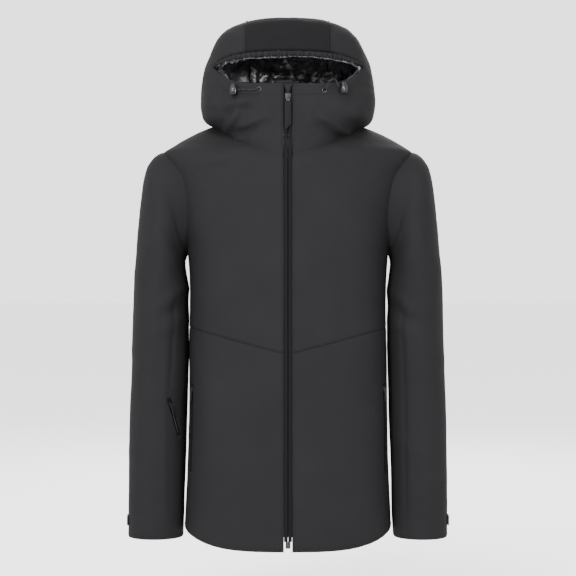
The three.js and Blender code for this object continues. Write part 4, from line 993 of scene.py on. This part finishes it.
# ---------------------------------------------------------------- zips
# Reverse coil zips: two woven polyester tapes whose coils face in, so the outside is two smooth
# strips with a line between them. The front zip opens at the foot; the pocket zips are sewn shut.
TAPE_FRONT, TAPE_BACK, COIL_PITCH, COIL_RADIUS = 0.8, 1.8, 2.4, 1.15  # mm; a real pitch of 1.2, drawn to show


# Woven polyester zip tape: matte black with a close rib across the tape.
zip_tape = patterned(
    "polyester_zip_tape_woven", "ShaderNodeTexWave", {"Scale": band_scale(1.3), "Distortion": 0.6},
    "#060607", "#0C0C0D", 0.0002, bands="Y", uv=True, Roughness=0.62, Specular_IOR_Level=0.04,
)

# Extruded polyester monofilament: smooth, a little glossy.
coil = patterned(
    "polyester_monofilament_coil", "ShaderNodeTexNoise", {"Scale": 300}, "#0B0B0C", "#161617",
    Roughness=0.35, Specular_IOR_Level=0.15,
)

for name, (foot, inward, up, half_slot, length, body, nodes) in ZIPS.items():
    to_frame = standing_on(foot, inward, up)
    low = 12.2 if name == "front" else 0.0
    for way, side in ((-1, "right"), (1, "left")):
        x = np.linspace(0.3, half_slot - 0.35, 9)
        z = np.linspace(low, length, int((length - low) / 1.6))
        x, z = np.meshgrid(x, z, indexing="ij")
        y = TAPE_FRONT - 0.45 * np.exp(-(((x - 2) / 1.5) ** 2)) + 0.5 * np.exp(-((x - 0.3) / 0.5) ** 2)
        y = y + 0.1 * np.sin(z * 2 * np.pi / COIL_PITCH) * np.exp(-(((x - 2) / 2) ** 2))
        front = np.stack([way * x, y, z], -1)[::way]
        back = front + (0, TAPE_BACK - TAPE_FRONT, 0)
        mesh = sheet_mesh("tape", to_frame(front), to_frame(back))
        keep(mesh, f"zip_tape_{name}_{side}", zip_tape, body, nodes if way > 0 else ())
        turn = np.linspace(0, 2 * np.pi, 9)[:-1, None]
        z = np.arange(low, length, COIL_PITCH / 4)[None, :]
        radius = COIL_RADIUS * (0.8 + 0.2 * np.abs(np.sin(z * np.pi / COIL_PITCH + way * np.pi / 4)))
        centre = way * 1.75, TAPE_BACK + 1.15
        ring = np.stack(np.broadcast_arrays(
            centre[0] + 1.25 * radius * np.cos(turn), centre[1] + radius * np.sin(turn) * 0.95, z), -1)
        core = np.stack(np.broadcast_arrays(centre[0] + 0 * turn, centre[1] + 0 * turn, z), -1)
        mesh = sheet_mesh("coil", to_frame(ring), to_frame(core + (ring - core) * 0.3), around=True)
        keep(mesh, f"zip_coil_{name}_{side}", coil, body)


# Zip sliders and their pulls: die-cast zinc, plated dark nickel, tumbled smooth at every edge.
def softened(node_name, width):
    """A fine-edged copy of a hard CAD piece."""
    work = bmesh.new()
    work.from_mesh(frame["nodes"][node_name].data)
    bmesh.ops.remove_doubles(work, verts=work.verts, dist=1e-6)
    bmesh.ops.dissolve_limit(work, angle_limit=0.02, verts=work.verts, edges=work.edges)
    sharp = [e for e in work.edges if len(e.link_faces) == 2 and e.calc_face_angle(0) > 0.5]
    bmesh.ops.bevel(work, geom=sharp, offset=width, segments=3, affect="EDGES", profile=0.6, clamp_overlap=True)
    return smooth_mesh(work, node_name + "_fine")


nickel = patterned(
    "zinc_die_cast_dark_nickel", "ShaderNodeTexNoise", {"Scale": 700, "Detail": 4}, "#1C1C1E", "#3A3A3D", 0.00003,
    rough=(0.28, 0.48), Metallic=0.9,
)

METAL_PIECES = {"zip_box": "torso", "zip_slider": "front_slider", "zip_pull": "front_pull"}
for side in SIDES:
    METAL_PIECES[f"pocket_{side}_zip_slider"] = f"pocket_{side}_slider"
    METAL_PIECES[f"pocket_{side}_zip_pull"] = f"pocket_{side}_pull"
METAL_PIECES |= {"sleeve_pocket_zip_slider": "forearm_slider", "sleeve_pocket_zip_pull": "forearm_pull"}
for name, body in METAL_PIECES.items():
    keep(softened(name, 0.00035), f"{name}_cast", nickel, body, [name])


# The front zip's puller: a folded strip of black webbing, bonded, with its tip cut on a slant.
webbing = patterned(
    "polyester_webbing_bonded", "ShaderNodeTexWave", {"Scale": band_scale(1.5), "Distortion": 0.8, "Detail": 2},
    "#070708", "#101011", 0.00025, bands="Z", Roughness=0.5, Specular_IOR_Level=0.05,
)
keep(softened("zip_puller_tape", 0.0005), "zip_puller_webbing", webbing, "front_pull", ["zip_puller_tape"])


# ---------------------------------------------------------------- cuff tabs
# Moulded rubber tabs that close the cuff, on a woven loop pad. They wrap from the outer edge round
# the back of the wrist, and only their thick ends show from the front.
rubber = patterned(
    "rubber_moulded_matte", "ShaderNodeTexNoise", {"Scale": 1200, "Detail": 2}, "#0D0D0E", "#19191A", 0.00006,
    Roughness=0.55, Specular_IOR_Level=0.06,
)

# Knitted loop pile: dull and fuzzy, for the tab's hooks to grip.
loop_pile = patterned(
    "nylon_loop_pile", "ShaderNodeTexVoronoi", {"Scale": 900}, "#08080A", "#1B1B1D", 0.0004,
    Roughness=0.95, Specular_IOR_Level=0.05,
)
TAB = (19.5, 38.5)  # its lower and upper edge above the cuff, mm
CUFF_Z = -751

def round_cuff(way, low, high, degrees, proud, tip=0.0):
    """A band on the cuff between two heights and two angles, its far end rounded."""
    turn = np.radians(np.linspace(*degrees, 60))[:, None]
    share = np.linspace(0, 1, 15)[None, :]
    near_tip = np.clip((turn - turn[0, 0]) / 0.2, 0, 1) ** 0.4 * (1 - tip) + tip
    middle = (low + high) / 2
    z = CUFF_Z + middle + (share - 0.5) * (high - low) * near_tip
    top_x, _, low_x, _, half, y = np.moveaxis(sleeve_at(11 - (z - CUFF_Z) / 132.3), -1, 0)
    x = way * ((top_x + low_x) / 2 + ((top_x - low_x) / 2 + proud) * np.cos(turn))
    return np.stack([x, y + (half + proud) * np.sin(turn), z], -1)[::way]

for side, way in SIDES.items():
    grid = round_cuff(way, *TAB, (-20, 84), 3.2, tip=0.55)
    ridges = 0.35 * (np.abs(np.sin(np.linspace(0, 40, grid.shape[0]))) > 0.75)[:, None]
    grid = grid + facing(grid) * ridges[..., None]
    keep(cloth_sheet("tab", grid, 1.9, 0, 0.9, room_to_edges(grid)), f"cuff_tab_{side}_moulded", rubber, f"tab_{side}",
         [f"cuff_tab_{side}"])
    grid = round_cuff(way, TAB[0] + 1.5, TAB[1] - 1.5, (-14, 50), 1.3)
    keep(cloth_sheet("pad", grid, 1.0, 0, 0.4, room_to_edges(grid)), f"cuff_loop_{side}_pad", loop_pile, f"arm_{side}",
         [f"cuff_loop_{side}"])


# ---------------------------------------------------------------- eyelets and cord locks
# Glossy black acetal barrels with a sprung button, and an eyelet where each cord leaves the collar.
acetal = patterned(
    "acetal_moulded_black", "ShaderNodeTexNoise", {"Scale": 260, "Detail": 2}, "#070708", "#101011", 0.00002,
    Roughness=0.2, Specular_IOR_Level=0.22,
)

# Drawn stainless spring wire: bright, with a fine drawn grain.
spring_wire = patterned(
    "stainless_spring_wire", "ShaderNodeTexNoise", {"Scale": 2000}, "#8C8C90", "#A8A8AC",
    rough=(0.2, 0.35), Metallic=1.0,
)

def turned(profile, to_frame, axis="up", steps=36, flutes=0.0):
    """A closed solid of revolution: the profile's radius and height, its ends on the axis or closed on itself."""
    profile = np.array(profile, float)
    closed = bool((profile[0] == profile[-1]).all())
    profile = profile[:-1] if closed else profile
    turn = np.linspace(0, 2 * np.pi, steps, endpoint=False)[:, None]
    radius = profile[:, 0] * (1 - flutes * (np.cos(turn * 9) > 0.55) * (profile[:, 0] > 5.5))
    across, deep, high = radius * np.cos(turn), radius * np.sin(turn), profile[:, 1] + 0 * turn
    points = np.stack([across, deep, high] if axis == "up" else [across, high, deep], -1)
    work = bmesh.new()
    rows = [[work.verts.new(p) for p in to_frame(line)] for line in points]
    last = len(profile) if closed else len(profile) - 1
    for k, row in enumerate(rows):
        other = rows[(k + 1) % steps]
        for j in range(last):
            a, b = j, (j + 1) % len(profile)
            work.faces.new((row[a], other[a], other[b], row[b]))
    bmesh.ops.remove_doubles(work, verts=work.verts, dist=1e-7)
    bmesh.ops.dissolve_degenerate(work, edges=work.edges, dist=1e-7)
    bmesh.ops.recalc_face_normals(work, faces=work.faces)
    mesh = smooth_mesh(work, "turned")
    mesh.set_sharp_from_angle(angle=0.9)
    return mesh


HARDWARE = {  # eyelet and lock: place in the frame in mm and the way in
    "left": ((64, -182.3, 33.4), (-0.21516, 0.97658, 0), (98.206, -178.926, 37.4), (-0.41637, 0.90919, 0)),
    "right": ((-51, -184.69, 34.9), (0.15209, 0.98837, 0), (-96.059, -180.099, 34.4), (0.39731, 0.91768, 0)),
}
for side, (eyelet_at, eyelet_in, lock_at, lock_in) in HARDWARE.items():
    on_collar = standing_on(eyelet_at, eyelet_in, (0, 0, 1))
    ring = [
        (2.1, -0.6), (2.5, -1.1), (3.4, -1.3), (4.3, -1.0), (4.8, -0.3), (4.8, 2.6), (4.4, 2.8), (2.3, 2.8), (2.1, 2.5),
        (2.1, -0.6),
    ]
    keep(turned(ring, on_collar, "in"), f"eyelet_{side}_moulded", acetal, "torso", [f"eyelet_{side}"])
    in_lock = standing_on(lock_at, lock_in, (0, 0, 1))
    barrel = [
        (0, -9), (3.6, -9), (4.6, -8.7), (5.6, -7.8), (6.2, -6.2), (6.5, -3.5), (6.5, 1.5), (6.3, 4.2), (5.8, 6.2),
        (5.3, 6.9), (4.8, 7), (4.6, 6.8), (4.6, -6.5), (0, -6.5),
    ]
    keep(turned(barrel, in_lock, flutes=0.05, steps=72), f"cord_lock_{side}_barrel", acetal, "torso",
         [f"cord_lock_{side}"])
    button = [(0, 0), (4, 0), (4.3, 0.4), (4.3, 9.4), (3.9, 10.3), (3.0, 10.9), (1.6, 10.7), (0, 10.5)]
    keep(turned(button, in_lock), f"cord_lock_{side}_button", acetal, f"button_{side}",
         [f"cord_lock_button_{side}"])
    coiled = frame["nodes"][f"cord_lock_spring_{side}"].data.copy()
    coiled.materials.clear()
    nodes = [f"cord_lock_spring_{side}"]
    spring = keep(coiled, f"cord_lock_{side}_spring_wire", spring_wire, "torso", nodes)
    foot, head = (Vector(corner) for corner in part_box(f"cord_lock_spring_{side}"))
    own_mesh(spring)


# ---------------------------------------------------------------- hang loop
# A loop of narrow woven tape, sewn into the back neck seam, on which the jacket hangs.
arch = np.pi * np.linspace(1, 0, 61)
across = np.linspace(0, 1, 7)
inner, outer = (np.stack([wide * np.cos(arch), high * np.sin(arch)], -1) for wide, high in ((23, 17), (28, 22)))
flat = inner[:, None] + (outer - inner)[:, None] * across[None, :, None]
grid = np.stack([flat[..., 0], 70.2 + 0.25 * np.cos(arch * 14)[:, None] + 0 * across, flat[..., 1] - 1.4], -1)
mesh = cloth_sheet("loop", grid, 1.3, 0, 0.35, room_to_edges(grid))
keep(mesh, "hang_loop_tape", zip_tape, "torso", ["hang_loop"])


# ---------------------------------------------------------------- topstitching
# Spun polyester thread in lockstitch, a stitch every 3 mm, beside the seams and round the edges.
thread = patterned(
    "polyester_spun_thread", "ShaderNodeTexWave", {"Scale": 800, "Distortion": 1}, "#09090A", "#131314", 0.00008,
    Roughness=0.6, Specular_IOR_Level=0.05,
)
STITCH, STITCH_GAP, THREAD_WIDTH = 2.3, 0.8, 0.55  # mm; the thread is drawn half as thick again, to show


def beside_edge(grid, edge, away, around=False):
    """The line on a grid of cloth at a distance from one of its edges, and the way the cloth faces there."""
    both = np.concatenate([grid, facing(grid, around)], -1)
    if edge in ("first", "last"):
        both = both.transpose(1, 0, 2)
    if edge in ("high", "last"):
        both = both[:, ::-1]
    run = run_along(both[..., :3], 1)
    line = np.array([[np.interp(away, r, column[:, k]) for k in range(6)] for r, column in zip(run, both)])
    if around:
        line = np.vstack([line, line[:1]])
    return line[:, :3], line[:, 3:]


def stitches(lines):
    """One mesh of all the stitches along lines on the cloth."""
    points, faces = [], []
    for line, out in lines:
        run = np.concatenate([[0], np.cumsum(np.linalg.norm(np.diff(line, axis=0), axis=1))])
        starts = np.arange(1.0, run[-1] - STITCH, STITCH + STITCH_GAP)
        for start in starts:
            ends = [np.array([np.interp(start + s * STITCH, run, line[:, k]) for k in range(3)]) for s in (0, 1)]
            up = np.array([np.interp(start, run, out[:, k]) for k in range(3)])
            along = ends[1] - ends[0]
            beside = np.cross(along, up)
            beside *= THREAD_WIDTH / 2 / (np.linalg.norm(beside) + 1e-9)
            base = len(points)
            middle = (ends[0] + ends[1]) / 2 + up * 0.2
            shift = along * 0.28
            points += [ends[0] - up * 0.3, ends[1] - up * 0.3]
            for centre in (middle - shift, middle + shift):
                points += [centre + beside, centre + up * 0.25, centre - beside, centre - up * 0.5]
            for k in range(4):
                a, b = base + 2 + k, base + 2 + (k + 1) % 4
                faces += [(base, a, b), (a, a + 4, b + 4, b), (base + 1, b + 4, a + 4)]
    mesh = bpy.data.meshes.new("stitches")
    mesh.from_pydata(placed(points).tolist(), [], faces)
    mesh.shade_smooth()
    return mesh


lines = []
for side, way in SIDES.items():
    zip_side = "first" if way > 0 else "last"
    lower_front, upper_front = FRONT[side, "lower"], FRONT[side, "upper"]
    for front, edge, inset in ((lower_front, "low", 6), (upper_front, "low", 3), (lower_front, zip_side, 4)):
        lines.append(beside_edge(front, edge, inset))
    line, out = beside_edge(upper_front, zip_side, 4)
    lines.append((line[line[:, 2] < -66], out[line[:, 2] < -66]))
lines += [beside_edge(BACK["panel"], "low", 6), beside_edge(BACK["panel"], "high", 3)]
keep(stitches(lines), "stitching_body", thread, "torso")
for side, (grid, _) in SLEEVE.items():
    keep(stitches([beside_edge(grid, "high", 6, True)]), f"stitching_cuff_{side}", thread, f"arm_{side}")

collar_lines, crown_lines = [], []
for side, way in SIDES.items():
    low_grid, high_grid, first = HOOD[side, "lower"], HOOD[side, "upper"], "first" if way > 0 else "last"
    line, out = beside_edge(low_grid, "high", 20)
    near = (np.abs(line[:, 0]) < 122) & (line[:, 1] < 0)
    collar_lines.append((line[near], out[near]))
    line, out = beside_edge(low_grid, first, 4)
    near = (line[:, 2] > -58) & (line[:, 2] < 60)
    collar_lines.append((line[near], out[near]))
    crown_lines.append(beside_edge(high_grid, first, 3))
    line, out = beside_edge(high_grid, "low", 3)
    near = (np.abs(line[:, 0]) < FACE_CORNER_X - 6) & (line[:, 1] < 0)
    crown_lines.append((line[near], out[near]))
crown_lines.append(beside_edge(HOOD["centre"], "low", 3))
keep(stitches(collar_lines), "stitching_collar", thread, "torso")
tilt_with_crown(keep(stitches(crown_lines), "stitching_crown", thread, None))


# ---------------------------------------------------------------- cutting
# What each piece of cloth measures flat, as it comes off the cutting table before it is sewn:
# the width and length of its pattern piece, its area in square metres, and how it is held.
CUTS = {  # a star stands for left and right
    "shell_front_lower_*": (0.26, 0.40, 0.094, "hung", "wadding_*"),
    "shell_front_upper_*": (0.30, 0.43, 0.093, "hung", "wadding_*"),
    "shell_back_panel": (0.50, 0.66, 0.321, "hung", "wadding_back"),
    "shell_back_yoke": (0.50, 0.20, 0.078, "hung", "wadding_back"),
    "shell_sleeve_left": (0.46, 0.66, 0.244, "hung", "lining_sleeve_left"),
    "shell_sleeve_right": (0.46, 0.66, 0.243, "hung", "lining_sleeve_right"),
    "shell_hood_*": (0.30, 0.34, 0.075, "hung", "lining_hood"),
    "shell_hood_centre": (0.155, 0.56, 0.0785, "hung", "lining_hood"),
    "shell_hood_brim": (0.35, 0.03, 0.006, "gathered", "lining_hood"),
    "lining_hood": (0.62, 0.50, 0.235, "gathered", "shell_hood_centre"),
    "lining_*": (0.32, 0.74, 0.172, "hung", "wadding_*"),
    "lining_back": (0.52, 0.75, 0.365, "hung", "wadding_back"),
    "lining_sleeve_*": (0.43, 0.66, 0.226, "hung", "shell_sleeve_*"),
    "pocket_bag_*_tricot": (0.095, 0.24, 0.0205, "folded", "lining_*"),
    "storm_flap_facing": (0.049, 0.63, 0.030, "folded", "lining_left"),
    "chin_guard_facing": (0.051, 0.097, 0.0046, "folded", "lining_hood"),
}
for name, (width, length, area, held, under) in CUTS.items():
    for side in SIDES if "*" in name else ("",):
        piece = bpy.data.objects[name.replace("*", side)]
